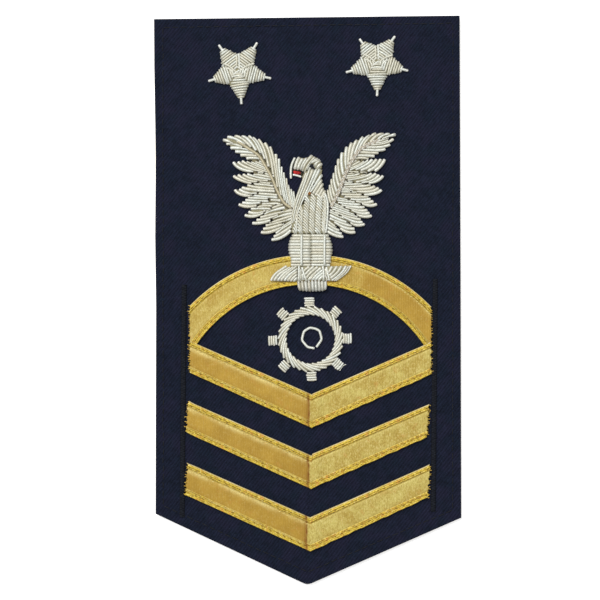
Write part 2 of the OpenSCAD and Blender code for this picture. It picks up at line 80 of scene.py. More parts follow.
SEEDS |= {"rocker_streaks": 71, "rocker_ends": 60, "left_wing": 101, "right_wing": 102, "stars": 300}


# ---------------------------------------------------------------- plain helpers


def mix(a, b, t):
    return a * (1 - t) + b * t


def ease(t):
    t = np.clip(t, 0, 1)
    return t * t * (3 - 2 * t)


def unit(v):
    return v / np.linalg.norm(v)


def left_of(v):
    return np.array([-v[1], v[0]])


def polar(angle, radius=1.0):
    """The point at that angle from X, in radians, and that radius."""
    return np.array([radius * math.cos(angle), radius * math.sin(angle)])


def through(a, m, b, t):
    """A curve from a to b that passes m half way, at each t."""
    t = np.asarray(t)[:, None]
    return a * (1 - t) ** 2 + (4 * m - a - b) * t * (1 - t) + b * t**2


def at(line, s):
    """The point at s on a smooth curve through the points of a line; s counts its points."""
    line = np.asarray(line, float)
    last = len(line) - 1
    i = int(max(0, min(last - 1, math.floor(s))))
    u = s - i
    p0, p1, p2, p3 = line[max(0, i - 1)], line[i], line[i + 1], line[min(last, i + 2)]
    return 0.5 * (
        2 * p1 + (p2 - p0) * u + (2 * p0 - 5 * p1 + 4 * p2 - p3) * u**2 + (3 * p1 - p0 - 3 * p2 + p3) * u**3
    )


def heading(line, s):
    return unit(at(line, s + 0.05) - at(line, s - 0.05))


def curve(points, count):
    """A smooth curve through a few points, sampled evenly by its point count."""
    return np.array([at(points, s) for s in np.linspace(0, len(points) - 1, count)])


def eagle(x, y):
    """A point of the eagle's own grid, in millimetres."""
    return np.array([DESIGN_X + x * STEP, PERCH_Y + y * STEP])


def chart(x, y):
    """A point read from the front view's chart: the eagle's steps, with X from the left and Y downwards."""
    return eagle(x - CHART_X, CHART_Y - y)


def chart_curve(row, count):
    """A smooth curve through a few points in chart units."""
    return curve([chart(x, y) for x, y in row], count)


def chart_points(row):
    """The points of a row of numbers in chart units: x and y of each in turn."""
    return [chart(x, y) for x, y in zip(row[::2], row[1::2])]


def level(ring, z):
    """The points of a plan, all at one height."""
    return np.c_[ring, np.full(len(ring), z)]


def arched(point, half, z, level, low, high):
    """Path of a short stitch over a point: level up to that share of its half length, then down to its ends."""
    return [[*(point + half * s), z + dz] for s, dz in ((-1, low), (-level, high), (level, high), (1, low))]


def bowed(a, b, z, rise, count):
    """Path from a to b that rises in the middle."""
    return [[*mix(a, b, t), z + rise * math.sin(math.pi * t)] for t in np.linspace(0, 1, count)]


def ripple(x, period, seed):
    """Smooth noise along a line, between about -1 and 1."""
    rng = random.Random(seed)
    total = np.zeros_like(np.asarray(x, float))
    for k in (1.0, 1.7, 2.9):
        total += np.sin(np.asarray(x) * 2 * math.pi * k / period + rng.uniform(0, 6.28)) / k
    return total / 1.6


def cloudy(x, y, period, seed):
    """Smooth noise over a plane, between about -1 and 1."""
    rng = random.Random(seed)
    total = np.zeros_like(x)
    for _ in range(7):
        angle, size = rng.uniform(0, 6.28), period * rng.uniform(0.6, 1.5)
        total += np.sin((x * math.cos(angle) + y * math.sin(angle)) * 2 * math.pi / size + rng.uniform(0, 6.28))
    return total / 3.5


def inside_depth(points, outline):
    """How far each point lies inside a closed outline; negative outside."""
    points = np.atleast_2d(points)
    a = np.asarray(outline, float)
    b = np.roll(a, -1, axis=0)
    ab = b - a
    ap = points[:, None, :] - a[None]
    t = np.clip((ap * ab).sum(2) / (ab**2).sum(1), 0, 1)
    gap = np.linalg.norm(ap - t[..., None] * ab, axis=2).min(1)
    crosses = (a[:, 1] > points[:, 1:]) != (b[:, 1] > points[:, 1:])
    with np.errstate(divide="ignore", invalid="ignore"):
        at_x = a[:, 0] + (points[:, 1:] - a[:, 1]) * ab[:, 0] / ab[:, 1]
    inside = (crosses & (points[:, :1] < at_x)).sum(1) % 2 == 1
    return np.where(inside, gap, -gap)


def drawn_in(points, by):
    """A clockwise outline with each corner moved inwards."""
    points = np.asarray(points, float)
    before = points - np.roll(points, 1, axis=0)
    after = np.roll(points, -1, axis=0) - points
    before /= np.linalg.norm(before, axis=1)[:, None]
    after /= np.linalg.norm(after, axis=1)[:, None]
    mean = before + after
    mean /= np.linalg.norm(mean, axis=1)[:, None]
    return points - np.stack([-mean[:, 1], mean[:, 0]], 1) * by


def lengths_along(path):
    """Length of the path up to each of its points."""
    return np.r_[0, np.cumsum(np.linalg.norm(np.diff(path, axis=0), axis=1))]


def sampled(path, reach, spots):
    """The path's points at those lengths along it."""
    return np.stack([np.interp(spots, reach, column) for column in path.T], 1)


# ---------------------------------------------------------------- meshes

LEAST_PAD = 0.1  # height of the thinnest padding


class Form:
    """Collects the vertices and faces of one piece, with what its materials read at each vertex."""

    # Some of these carry painted light for the lace: how lit its satin is, its highlights beside the borders and
    # the shade along its crease
    LAYERS = ("along", "tone", "tip", "across", "arm", "streak", "mark")

    def __init__(self):
        self.points, self.faces, self.kinds = [], [], []
        self.layers = {name: [] for name in self.LAYERS}
        self.count = 0

    def add(self, points, faces, kind=0, **layers):
        points = np.asarray(points, float).reshape(-1, 3)
        self.points.append(points)
        self.faces.extend([tuple(int(i) + self.count for i in f) for f in faces])
        self.kinds.extend([kind] * len(faces))
        for name in self.LAYERS:
            value = np.broadcast_to(np.asarray(layers.get(name, 0.0), float), (len(points),))
            self.layers[name].append(value)
        self.count += len(points)

    def loft(self, rings, kind=0, **layers):
        """A closed solid through closed rings of the same number of points."""
        rings = np.asarray(rings, float)
        n, m = rings.shape[:2]
        faces = [
            (i * m + j, (i + 1) * m + j, (i + 1) * m + (j + 1) % m, i * m + (j + 1) % m)
            for i in range(n - 1)
            for j in range(m)
        ]
        faces.append(tuple(range(m)))
        faces.append(tuple((n - 1) * m + j for j in range(m - 1, -1, -1)))
        layers = {k: np.asarray(v, float).reshape(-1) if np.ndim(v) else v for k, v in layers.items()}
        self.add(rings.reshape(-1, 3), faces, kind, **layers)

    def strand(self, path, radius=PURL_R, width=1.0, tone=0.5, sides=10, step=0.55, whiten=0.7):
        """A round strand with blunt ends. width is its half width as a share of radius, along its length; whiten
        is how far from each end its painted highlight reaches.
        """
        path = np.asarray(path, float)
        reach = lengths_along(path)
        length = reach[-1]
        cap = min(radius * 0.9, length * 0.25)
        inner = np.linspace(cap, length - cap, max(2, int(round((length - 2 * cap) / step)) + 1))
        spots = np.r_[0.0, cap * 0.3, inner, length - cap * 0.3, length]
        size = np.r_[0.58, 0.88, np.ones(len(inner)), 0.88, 0.58]
        centre = sampled(path, reach, spots)
        tangent = np.stack([np.gradient(centre[:, k], spots) for k in range(3)], 1)
        tangent /= np.linalg.norm(tangent, axis=1)[:, None]
        side = np.cross(tangent, [0, 0, 1.0])
        side /= np.maximum(np.linalg.norm(side, axis=1), 1e-6)[:, None]
        top = np.cross(side, tangent)
        widths = np.interp(spots, np.linspace(0, length, np.size(width)), np.atleast_1d(width))
        a = np.arange(sides) * 2 * math.pi / sides
        ring = (
            centre[:, None, :]
            + side[:, None, :] * (np.cos(a)[None, :] * (size * widths * radius)[:, None])[..., None]
            + top[:, None, :] * (np.sin(a)[None, :] * (size * radius)[:, None])[..., None]
        )
        # tip: how much of the painted highlight at the ends each ring takes
        near_end = np.minimum(spots, length - spots)
        tip = np.clip(1 - near_end / whiten, 0, 1)
        self.loft(ring, along=np.repeat(spots, sides), tone=tone, tip=np.repeat(tip, sides))

    def pad(self, lines, drop):
        """Padding in four lines of points: the outer two on the cloth, the others that far under their height."""
        tops = [np.c_[line[:, :2], np.maximum(line[:, 2] - drop, BASE_Z + LEAST_PAD)] for line in lines[1:3]]
        self.loft(np.stack([level(lines[0][:, :2], BASE_Z), *tops, level(lines[3][:, :2], BASE_Z)], 1), 1)

    def bed(self, path, half, inset=0.25, spacing=0.9):
        """Padding between a strand and what it lies on."""
        path, half = np.asarray(path, float), np.broadcast_to(half, (len(path),))
        reach = lengths_along(path)
        spots = np.linspace(inset, reach[-1] - inset, max(3, int(reach[-1] / spacing)))
        centre = sampled(path, reach, spots)
        wide = np.interp(spots, reach, half)
        tangent = np.gradient(centre[:, :2], axis=0)
        side = np.stack([-tangent[:, 1], tangent[:, 0]], 1) / np.linalg.norm(tangent, axis=1)[:, None]
        shares = (-0.95, -0.9, 0.9, 0.95)
        self.pad([np.c_[centre[:, :2] + side * (wide * s)[:, None], centre[:, 2]] for s in shares], 0.02)

    def web(self, one, two):
        """Padding between two neighbouring strands, whose paths have the same number of points."""
        self.pad([one, one, two, two], 0.1)


PIECE_KINDS = {
    "serge": "cloth",
    "backing": "interlining",
    "gold_lace": "lace",
    "silver_bullion": "bullion",
    "dark_thread": "thread",
    "red_thread": "thread",
}


def bullion(name, form, *under):
    """Makes a piece of silver purl that stands for the node of its name, with what lies under its strands."""
    return make(name, form, [SILVER, *under], "silver_bullion", [name])


def placed(name, data):
    """A new object with that data, in the scene."""
    made = bpy.data.objects.new(name, data)
    bpy.context.scene.collection.objects.link(made)
    return made


def make(name, form, materials, slot, nodes=()):
    """Makes the piece, in metres, and says what it stands for."""
    title = f"{name}_{PIECE_KINDS[slot]}" if nodes else name
    mesh = bpy.data.meshes.new(title)
    points = np.concatenate(form.points) * MM
    mesh.from_pydata(points.tolist(), [], form.faces)
    for material in materials:
        mesh.materials.append(material)
    mesh.polygons.foreach_set("material_index", form.kinds)
    mesh.polygons.foreach_set("use_smooth", [True] * len(form.faces))
    for layer, values in form.layers.items():
        values = np.concatenate(values)
        if values.any():
            attribute = mesh.attributes.new(layer, "FLOAT", "POINT")
            attribute.data.foreach_set("value", values.astype(np.float32))
    mesh.validate()
    shape = bmesh.new()
    shape.from_mesh(mesh)
    bmesh.ops.recalc_face_normals(shape, faces=shape.faces)
    shape.to_mesh(mesh)
    shape.free()
    mesh.update()
    piece = placed(title, mesh)
    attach(piece, "root")
    if nodes:
        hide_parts(*nodes)
    return piece


# ---------------------------------------------------------------- materials


class Shader:
    """A material and its nodes, in few words."""

    def __init__(self, name, **surface):
        self.material = bpy.data.materials.new(name)
        self.material.use_nodes = True
        self.tree = self.material.node_tree
        self.surface = self.tree.nodes["Principled BSDF"]
        for key, value in surface.items():
            self.surface.inputs[key.replace("_", " ")].default_value = value

    def put(self, socket, value):
        """Feeds an input from another node, or sets it."""
        if isinstance(value, bpy.types.NodeSocket):
            self.tree.links.new(value, socket)
        else:
            socket.default_value = value

    def node(self, kind, settings=None, **inputs):
        made = self.tree.nodes.new("ShaderNode" + kind)
        for key, value in (settings or {}).items():
            setattr(made, key, value)
        for key, value in inputs.items():
            self.put(made.inputs[int(key[1:]) if key in ("i0", "i1") else key.replace("_", " ")], value)
        return made.outputs[0]

    def layer(self, name):
        made = self.tree.nodes.new("ShaderNodeAttribute")
        made.attribute_name = name
        return made.outputs["Fac"]

    def position(self, scale=(1, 1, 1), turn=0.0):
        """The place on the object in millimetres, turned and scaled."""
        made = self.tree.nodes.new("ShaderNodeTexCoord")
        scale, turns = tuple(s / MM for s in scale), (0, 0, math.radians(turn))
        return self.node("Mapping", Vector=made.outputs["Object"], Scale=scale, Rotation=turns)

    def noise(self, period, vector=None, detail=3.0, rough=0.5):
        """Noise with blotches of about that period, in millimetres."""
        vector = vector or self.position()
        return self.node("TexNoise", Vector=vector, Scale=1 / period, Detail=detail, Roughness=rough)

    def bands(self, period, vector, distortion=0.0, detail_scale=1.0):
        """Soft bands across X with that period, in millimetres."""
        return self.node(
            "TexWave",
            {"wave_type": "BANDS", "bands_direction": "X", "wave_profile": "SIN"},
            Vector=vector,
            Scale=0.31416 / period,
            Distortion=distortion,
            Detail=2.0,
            Detail_Scale=detail_scale,
        )

    def maths(self, operation, a, b=0.0):
        return self.node("Math", {"operation": operation}, i0=a, i1=b)

    def times(self, a, b):
        return self.maths("MULTIPLY", a, b)

    def apart(self, a, b):
        """How far two values are from each other."""
        return self.maths("ABSOLUTE", self.maths("SUBTRACT", a, b))

    def fit(self, value, low, high, to_low=0.0, to_high=1.0):
        return self.node("MapRange", Value=value, From_Min=low, From_Max=high, To_Min=to_low, To_Max=to_high)

    def blend(self, share, a, b):
        made = self.tree.nodes.new("ShaderNodeMix")
        made.data_type = "RGBA"
        for index, value in ((0, share), (6, a), (7, b)):
            self.put(made.inputs[index], value)
        return made.outputs[2]

    def stain(self, colour, value, low, high, most, shade):
        """The colour with a shade over it: none where the value is low, and up to that much where it is high."""
        return self.blend(self.fit(value, low, high, 0, most), colour, shade)

    def vector(self, x=0.0, y=0.0, z=0.0):
        return self.node("CombineXYZ", X=x, Y=y, Z=z)

    def bump(self, height, depth, strength):
        """Relief of that depth, in millimetres; more of it stacks on what is there."""
        made = self.tree.nodes.new("ShaderNodeBump")
        made.inputs["Strength"].default_value = strength
        made.inputs["Distance"].default_value = depth * MM
        self.tree.links.new(height, made.inputs["Height"])
        socket = self.surface.inputs["Normal"]
        if socket.links:
            self.tree.links.new(socket.links[0].from_socket, made.inputs["Normal"])
        self.tree.links.new(made.outputs["Normal"], socket)

    def paint(self, colour):
        self.tree.links.new(colour, self.surface.inputs["Base Color"])
        return self.material


def srgb(red, green, blue):
    """A screen colour, 0 to 255, as linear light."""
    shares = [c / 255 for c in (red, green, blue)]
    return (*(c / 12.92 if c < 0.0404 else ((c + 0.055) / 1.055) ** 2.4 for c in shares), 1.0)


def serge():
    """Navy wool twill: ridges run up to the right, with painted shade along them, over soft bluish and purplish
    blotches; the fuzz is paler with a painted sheen.
    """
    s = Shader("navy_serge", Roughness=0.9, Sheen_Weight=0.05, Sheen_Roughness=0.5, Specular_IOR_Level=0.12)
    s.surface.inputs["Sheen Tint"].default_value = srgb(120, 125, 160)
    wander = s.noise(6.0, detail=2)
    ridges = s.bands(0.95, s.position(turn=-142), distortion=1.3, detail_scale=0.9)
    yarns = s.bands(0.62, s.position(turn=-68), distortion=1.4, detail_scale=1.2)
    fuzz_sheen = s.noise(0.25, detail=4, rough=0.7)
    cloth = s.blend(s.fit(s.noise(1.6, detail=4, rough=0.7), 0.3, 0.7), srgb(14, 20, 32), srgb(27, 33, 52))
    cloth = s.stain(cloth, wander, 0.42, 0.66, 0.45, srgb(36, 33, 55))
    cloth = s.stain(cloth, s.noise(4.0, s.position((1, 1, 3)), 3), 0.5, 0.72, 0.45, srgb(18, 32, 44))
    # Painted shade along the ridges of the twill
    shaded = s.times(s.fit(ridges, 0.0, 0.55, 0.8, 0), s.fit(s.noise(1.1, detail=2), 0.3, 0.65, 0.2, 1))
    cloth = s.blend(shaded, cloth, srgb(9, 11, 21))
    # Painted sheen: paler fuzz where the loose fibres catch the light
    cloth = s.stain(cloth, fuzz_sheen, 0.58, 0.78, 0.38, srgb(84, 96, 126))
    s.bump(ridges, 0.16, 0.75)
    s.bump(yarns, 0.06, 0.5)
    s.bump(fuzz_sheen, 0.07, 0.6)
    return s.paint(cloth)


def interlining():
    """Stiff cream interlining with a coarse plain weave."""
    s = Shader("cream_interlining", Roughness=0.85, Specular_IOR_Level=0.2)
    warp = s.bands(0.8, s.position(), distortion=0.6)
    weft = s.bands(0.8, s.position(turn=90), distortion=0.6)
    colour = s.blend(s.fit(s.noise(9.0), 0.35, 0.7), srgb(222, 213, 188), srgb(206, 194, 164))
    colour = s.stain(colour, s.noise(0.9, s.position((1, 0.08, 1)), 2), 0.55, 0.8, 0.5, srgb(186, 172, 138))
    s.bump(s.times(warp, weft), 0.12, 0.8)
    s.bump(s.noise(0.4, detail=4), 0.06, 0.6)
    return s.paint(colour)


def purl(name, cool, warm, blotch_and_shade, metallic=0.42):
    """Metal purl: a fine coil of wire, a little different from strand to strand, with painted shade on the flanks
    of its strands and a painted highlight at their cut ends.
    """
    s = Shader(name, Metallic=metallic, Roughness=0.4, Specular_IOR_Level=0.5)
    tone, along, tip = s.layer("tone"), s.layer("along"), s.layer("tip")
    colour = s.blend(s.fit(tone, 0.15, 0.9), warm, cool)
    blotch = s.noise(1.1, s.vector(along, s.times(tone, 97.0)), 3)
    colour = s.stain(colour, blotch, 0.5, 0.75, 0.4, blotch_and_shade)
    # Painted shade: darker where a strand's surface turns from facing up towards its flanks
    normal = s.tree.nodes.new("ShaderNodeNewGeometry")
    slope = s.tree.nodes.new("ShaderNodeSeparateXYZ")
    s.tree.links.new(normal.outputs["Normal"], slope.inputs[0])
    colour = s.stain(colour, slope.outputs[2], 0.5, 0.0, 0.45, blotch_and_shade)
    # Painted highlight: whiter towards each cut end
    colour = s.stain(colour, tip, 0.2, 1.0, 0.85, srgb(252, 251, 246))
    coil = s.bands(0.3, s.vector(along))
    s.bump(coil, 0.05, 0.7)
    s.bump(s.noise(0.3, detail=3), 0.04, 0.5)
    return s.paint(colour)


def felt(name, light, dark):
    """Padding that shows between the strands."""
    s = Shader(name, Roughness=0.9, Specular_IOR_Level=0.15)
    fibres = s.noise(0.35, detail=5, rough=0.7)
    s.bump(fibres, 0.12, 0.8)
    return s.paint(s.blend(s.fit(fibres, 0.35, 0.65), dark, light))


def thread(name, light, dark, sheen=0.3):
    """Spun sewing thread: plies twist round it, with painted shade in the grooves between them."""
    s = Shader(name, Roughness=0.6, Specular_IOR_Level=sheen)
    twist = s.bands(0.28, s.vector(s.layer("along")), distortion=0.6)
    colour = s.blend(s.fit(s.noise(0.8, detail=3), 0.35, 0.7), dark, light)
    s.bump(twist, 0.05, 0.8)
    # Painted shade in the grooves of the twist
    return s.paint(s.blend(s.fit(twist, 0.0, 0.5, 0.45, 0), colour, dark))


def lace():
    """Gold lace: woven borders with a ribbed satin between them. Much of its light is painted: the satin's sheen,
    glints on the borders, a highlight along the upper edge, highlights beside the borders and shade along the
    crease.
    """
    s = Shader("gold_lace", Metallic=0.25, Roughness=0.5, Specular_IOR_Level=0.35)
    across, along, arm = s.layer("across"), s.layer("along"), s.layer("arm")
    streak, mark = s.layer("streak"), s.layer("mark")
    edge = s.maths("MINIMUM", across, s.maths("SUBTRACT", LACE_W, across))
    border = s.fit(edge, BORDER_W + 0.1, BORDER_W - 0.1)
    grain = s.noise(0.46, s.position((1, 0.6, 1)), 3, 0.7)
    rods = s.noise(0.75, s.position((1, 0.12, 1)), 2)
    cloud = s.fit(s.noise(5.0, detail=3), 0.35, 0.65)
    shaded_satin = s.blend(cloud, srgb(165, 129, 38), srgb(180, 144, 49))
    light = s.blend(cloud, srgb(177, 152, 66), srgb(197, 181, 97))
    # The satin between the borders, with a painted sheen: lit where the arm layer is 1 and in shade where it is 0
    satin = s.blend(arm, shaded_satin, light)
    # loose: how strongly the satin's own grain shows; it is stronger on the lit satin, as part of the painted
    # sheen
    loose = s.fit(arm, 0, 1, 0.3, 1)
    satin = s.blend(s.times(s.fit(grain, 0.5, 0.68, 0, 0.6), loose), satin, srgb(146, 116, 44))
    satin = s.blend(s.times(s.fit(grain, 0.48, 0.3, 0, 0.65), loose), satin, srgb(222, 204, 138))
    satin = s.stain(satin, rods, 0.5, 0.72, 0.16, srgb(150, 116, 36))
    satin = s.stain(satin, s.noise(2.4, detail=2), 0.6, 0.75, 0.35, srgb(188, 134, 56))
    # The borders
    cells = s.noise(0.7, s.vector(s.times(along, 0.7), s.times(across, 1.7)), 2)
    # Painted glints: pale flecks where the woven borders catch the light
    border_glints = s.noise(0.6, s.vector(along, s.times(across, 1.2), 9.0), 2)
    blush = s.noise(1.5, s.vector(along, across, 23.0), 2)
    woven = s.blend(s.fit(cells, 0.34, 0.6), srgb(160, 130, 30), srgb(218, 190, 66))
    woven = s.stain(woven, border_glints, 0.55, 0.7, 0.85, srgb(240, 220, 134))
    woven = s.stain(woven, blush, 0.58, 0.7, 0.5, srgb(216, 138, 60))
    # Painted highlight: a cream line along the upper edge of the lace, stronger in some places than in others
    edge_highlight = s.fit(s.noise(12.0, s.vector(along), 1), 0.4, 0.6, 0.45, 1)
    woven = s.blend(s.times(s.fit(across, 0.3, 0.16, 0, 0.8), edge_highlight), woven, srgb(236, 224, 184))
    woven = s.stain(woven, s.apart(edge, STITCH_IN), 0.2, 0.05, 0.3, srgb(136, 106, 22))
    # The dark line between them, the painted highlights beside it and the painted shade along the crease of the
    # mitre
    colour = s.blend(border, satin, woven)
    inner = s.fit(s.apart(edge, BORDER_W - 0.35), 0.3, 0.08, 0, 0.75)
    dashes = s.fit(s.noise(0.9, s.vector(along, 5.0), 2), 0.4, 0.55, 0.3, 1)
    colour = s.blend(s.times(inner, dashes), colour, srgb(132, 92, 26))
    broken = s.fit(s.noise(0.9, s.vector(along, across, 41.0), 2), 0.35, 0.6, 0.5, 1)
    # Painted highlights beside the borders
    colour = s.blend(s.times(streak, broken), colour, srgb(238, 224, 150))
    # Painted shade along the crease of the mitre
    colour = s.blend(mark, colour, srgb(126, 72, 16))
    ribs = s.bands(0.8, s.position(), distortion=1.2, detail_scale=1.5)
    s.bump(s.times(ribs, s.maths("SUBTRACT", 1.0, border)), 0.028, 0.7)
    s.bump(s.times(grain, loose), 0.1, 0.7)
    s.bump(s.times(cells, border), 0.25, 0.9)
    return s.paint(colour)


# The third colour of each purl is for its darker blotches and for its painted shade
SILVER = purl("silver_purl", srgb(226, 229, 220), srgb(215, 212, 194), srgb(168, 164, 140))
TAIL_PURL = purl("tail_purl", srgb(212, 214, 206), srgb(198, 194, 178), srgb(150, 146, 124))
RIB_CORD = purl("beige_cord", srgb(198, 190, 162), srgb(182, 171, 138), srgb(138, 125, 90), metallic=0.3)
WARM_CORD = purl("warm_cord", srgb(226, 224, 214), srgb(188, 178, 158), srgb(132, 122, 104))
FELT = felt("olive_felt", srgb(176, 171, 142), srgb(130, 124, 94))
UNDER_FELT = felt("shaded_felt", srgb(158, 151, 122), srgb(116, 109, 82))
DARK_FELT = felt("dark_padding", srgb(30, 32, 38), srgb(16, 17, 22))
DARK_THREAD = thread("dark_thread", srgb(27, 30, 38), srgb(11, 12, 17))
SEAM_THREAD = thread("seam_thread", srgb(39, 43, 52), srgb(20, 23, 31), sheen=0.15)
OLIVE_THREAD = thread("olive_thread", srgb(168, 130, 40), srgb(98, 70, 16))
GAP_THREAD = thread("gap_thread", srgb(84, 79, 58), srgb(38, 36, 28), sheen=0.1)
BROWN_THREAD = thread("brown_thread", srgb(178, 118, 44), srgb(104, 68, 26))
GOLD_FIBRE = thread("gold_fibre", srgb(222, 194, 100), srgb(164, 130, 48))
PALE_GOLD = thread("pale_gold", srgb(246, 232, 160), srgb(214, 188, 104))
RED_THREAD = thread("red_thread", srgb(226, 48, 46), srgb(120, 8, 10), sheen=0.4)
SERGE = serge()
INTERLINING = interlining()
LACE = lace()


# ---------------------------------------------------------------- cloth and backing

# Sides of the cloth from the pointed end up: share of the side's height, inset as a share of EDGE_R
LEFT_SIDE = [[0, 1.1], [0.42, 1.4], [0.56, 0.8], [0.72, 1.2], [0.9, 0.2], [1, 0]]
RIGHT_SIDE = [[0, 0], [0.5, 0.5], [1, 1.1]]
BACKING_SIDE = [[0, 0.8], [1, -1.15]]
ROLL_TURNS = [18, 36, 54, 72, 90]  # degrees round the rolled edge, from the side inwards


def low_edge(x):
    """Height of the pointed end's edge at x."""
    half = PATCH_W / 2
    left_angle, right_angle = math.atan(SHOULDER_LEFT / half), math.atan(SHOULDER_RIGHT / half)
    arc = [-90 - math.degrees(left_angle) + k * math.degrees(left_angle + right_angle) / 8 for k in range(9)]
    tip = [polar(math.radians(a), TIP_R) + [0, BOTTOM_Y + TIP_R] for a in arc]
    return np.interp(x, *zip((-half, BOTTOM_Y + SHOULDER_LEFT), *tip, (half, BOTTOM_Y + SHOULDER_RIGHT)))


def cloth_point(a, b, inset, left_rows):
    """A point of the shield: a runs from the left side to the right, b from the lower edge to the top."""
    half = PATCH_W / 2
    rows_l, rows_r = np.array(left_rows), np.array(RIGHT_SIDE)
    left = -half + EDGE_R * np.interp(b, rows_l[:, 0], rows_l[:, 1]) + inset
    right = half - EDGE_R * np.interp(b, rows_r[:, 0], rows_r[:, 1]) - inset
    x = mix(left, right, a)
    low = low_edge(np.clip(x, -half, half)) + inset * UPRIGHT
    high = mix(TOP_Y - TOP_FALL, TOP_Y, a) - inset
    return x, mix(low, high, b)


def slab(inset, left_rows, low_z, high_z, roll, columns, rows, relief=lambda x, y: 0 * x):
    """A sheet in the shape of the shield with rolled edges, as one closed form."""
    a, b = np.meshgrid(np.linspace(0, 1, columns), np.linspace(0, 1, rows))
    x, y = cloth_point(a, b, inset + roll, left_rows)
    top = np.stack([x, y, high_z + relief(x, y)], -1).reshape(-1, 3)
    under = np.stack([x, y, np.full_like(x, low_z)], -1).reshape(-1, 3)
    index = np.arange(rows * columns).reshape(rows, columns)
    quads = np.stack([index[:-1, :-1], index[:-1, 1:], index[1:, 1:], index[1:, :-1]], -1).reshape(-1, 4)
    border = np.r_[index[0, :-1], index[:-1, -1], index[-1, :0:-1], index[:0:-1, 0]]
    ea, eb = a.ravel()[border], b.ravel()[border]
    rings, foot = [], np.full(len(border), low_z)
    for turns, base, way in ((ROLL_TURNS, top[border, 2], -1), (ROLL_TURNS[::-1], foot, 1)):
        for angle in map(math.radians, turns):
            ex, ey = cloth_point(ea, eb, inset + roll * (1 - math.sin(angle)), left_rows)
            rings.append(np.stack([ex, ey, base + way * roll * (1 - math.cos(angle))], -1))
    count, m = len(top), len(border)
    points = np.concatenate([top, under] + rings)
    faces = [tuple(q) for q in quads] + [tuple(q[::-1] + count) for q in quads]
    loops = [border] + [2 * count + k * m + np.arange(m) for k in range(len(rings))] + [border + count]
    for one, two in zip(loops, loops[1:]):
        faces += list(zip(one, two, np.roll(two, -1), np.roll(one, -1)))
    form = Form()
    form.add(points, faces)
    return form


def hem_corners():
    """Corners of the line of topstitching, round the shield from the pointed end."""
    left, right, lift = -PATCH_W / 2 + 3.2, PATCH_W / 2 - 3.0, 4.05
    corners = [[0.0, low_edge(0.0) + lift + 0.2], [right, low_edge(right) + lift], [right + 0.1, TOP_Y - 2.7]]
    return np.array([*corners, [left - 0.1, TOP_Y - TOP_FALL - 2.9], [left, low_edge(left) + lift]])


HEM = hem_corners()
HEM_PITCH = 2.8


def hem_distance(x, y):
    """Distance to the topstitching and the place along it."""
    best, place, done = np.full(x.shape, 1e9), np.zeros(x.shape), 0.0
    for a, b in zip(HEM, np.roll(HEM, -1, axis=0)):
        ab = b - a
        length = np.linalg.norm(ab)
        t = np.clip(((x - a[0]) * ab[0] + (y - a[1]) * ab[1]) / length**2, 0, 1)
        gap = np.hypot(x - a[0] - t * ab[0], y - a[1] - t * ab[1])
        nearer = gap < best
        best = np.where(nearer, gap, best)
        place = np.where(nearer, done + t * length, place)
        done += length
    return best, place


def cloth_relief(x, y):
    """Pressed hem, dents at its stitches and a faint unevenness of the whole cloth."""
    gap, place = hem_distance(x, y)
    dent = -0.13 * np.exp(-((gap / 0.55) ** 2)) * (0.55 + 0.45 * np.cos(2 * math.pi * place / HEM_PITCH))
    fold = -0.05 * ease((gap - 3.0) / 3.0)
    return dent + fold + 0.05 * cloudy(x, y, 38, 5) + 0.02 * cloudy(x, y, 9, 6) - 0.03


def make_cloth():
    sheet = slab(0, LEFT_SIDE, CLOTH_Z, FACE_Z, EDGE_R, columns=132, rows=243, relief=cloth_relief)
    cloth = make("ground_cloth", sheet, [SERGE], "serge", ["ground_cloth"])
    stitches = Form()
    rng = random.Random(SEEDS["hem"])
    for a, b in zip(HEM, np.roll(HEM, -1, axis=0)):
        length = np.linalg.norm(b - a)
        ahead = (b - a) / length
        count = int(length // HEM_PITCH)
        for k in range(count):
            middle = a + ahead * (k + 0.5) * length / count + left_of(ahead) * rng.uniform(-0.09, 0.09)
            half = ahead * rng.uniform(1.0, 1.15) + left_of(ahead) * rng.uniform(-0.07, 0.07)
            path = arched(middle, half, FACE_Z, 0.6, -0.22, 0.03)
            stitches.strand(path, 0.16, tone=rng.random(), sides=8, step=0.4)
    make("hem_stitches", stitches, [DARK_THREAD], "dark_thread")
    sheet = slab(BACKING_INSET, BACKING_SIDE, 0.0, BACKING_T, 0.25, columns=48, rows=88)
    backing = make("backing", sheet, [INTERLINING], "backing", ["backing"])


def make_seams():
    """Dense zigzag machine stitching in dark thread, beside the ends of the lace."""
    half, length, lean, pitch = 0.82, 79.0, 0.7, 0.42
    for name, side, low in (("seam_left", -1, 22.9), ("seam_right", 1, 24.8)):
        x0, y0, z0 = side * (CHEVRON_W / 2 + 0.85 + half), BOTTOM_Y + low, BASE_Z - 0.03
        form = Form()
        y = np.linspace(0, length, 160)
        section = [[-1, 0], [-0.9, 0.14], [-0.5, 0.26], [0, 0.3], [0.5, 0.26], [0.9, 0.14], [1, 0]]
        form.loft([[[x0 + lean * v / length + s * half, y0 + v, z0 + h] for s, h in section] for v in y], 1)
        path = []
        for k in range(int(length / pitch)):
            rng, way = random.Random(k * 7 + side), 1 if k % 2 else -1
            for s in np.linspace(-1, 1, 5) * way:
                v = (k + (s * way + 1) / 2) * pitch
                wide = half * (1 + rng.uniform(-0.08, 0.08)) * s
                path.append([x0 + lean * v / length + wide, y0 + v, BASE_Z + 0.12 + 0.27 * (1 - abs(s) ** 3)])
        form.strand(path, 0.15, sides=6, step=0.38)
        make(name, form, [SEAM_THREAD, DARK_FELT], "dark_thread", [name])


# ---------------------------------------------------------------- lace

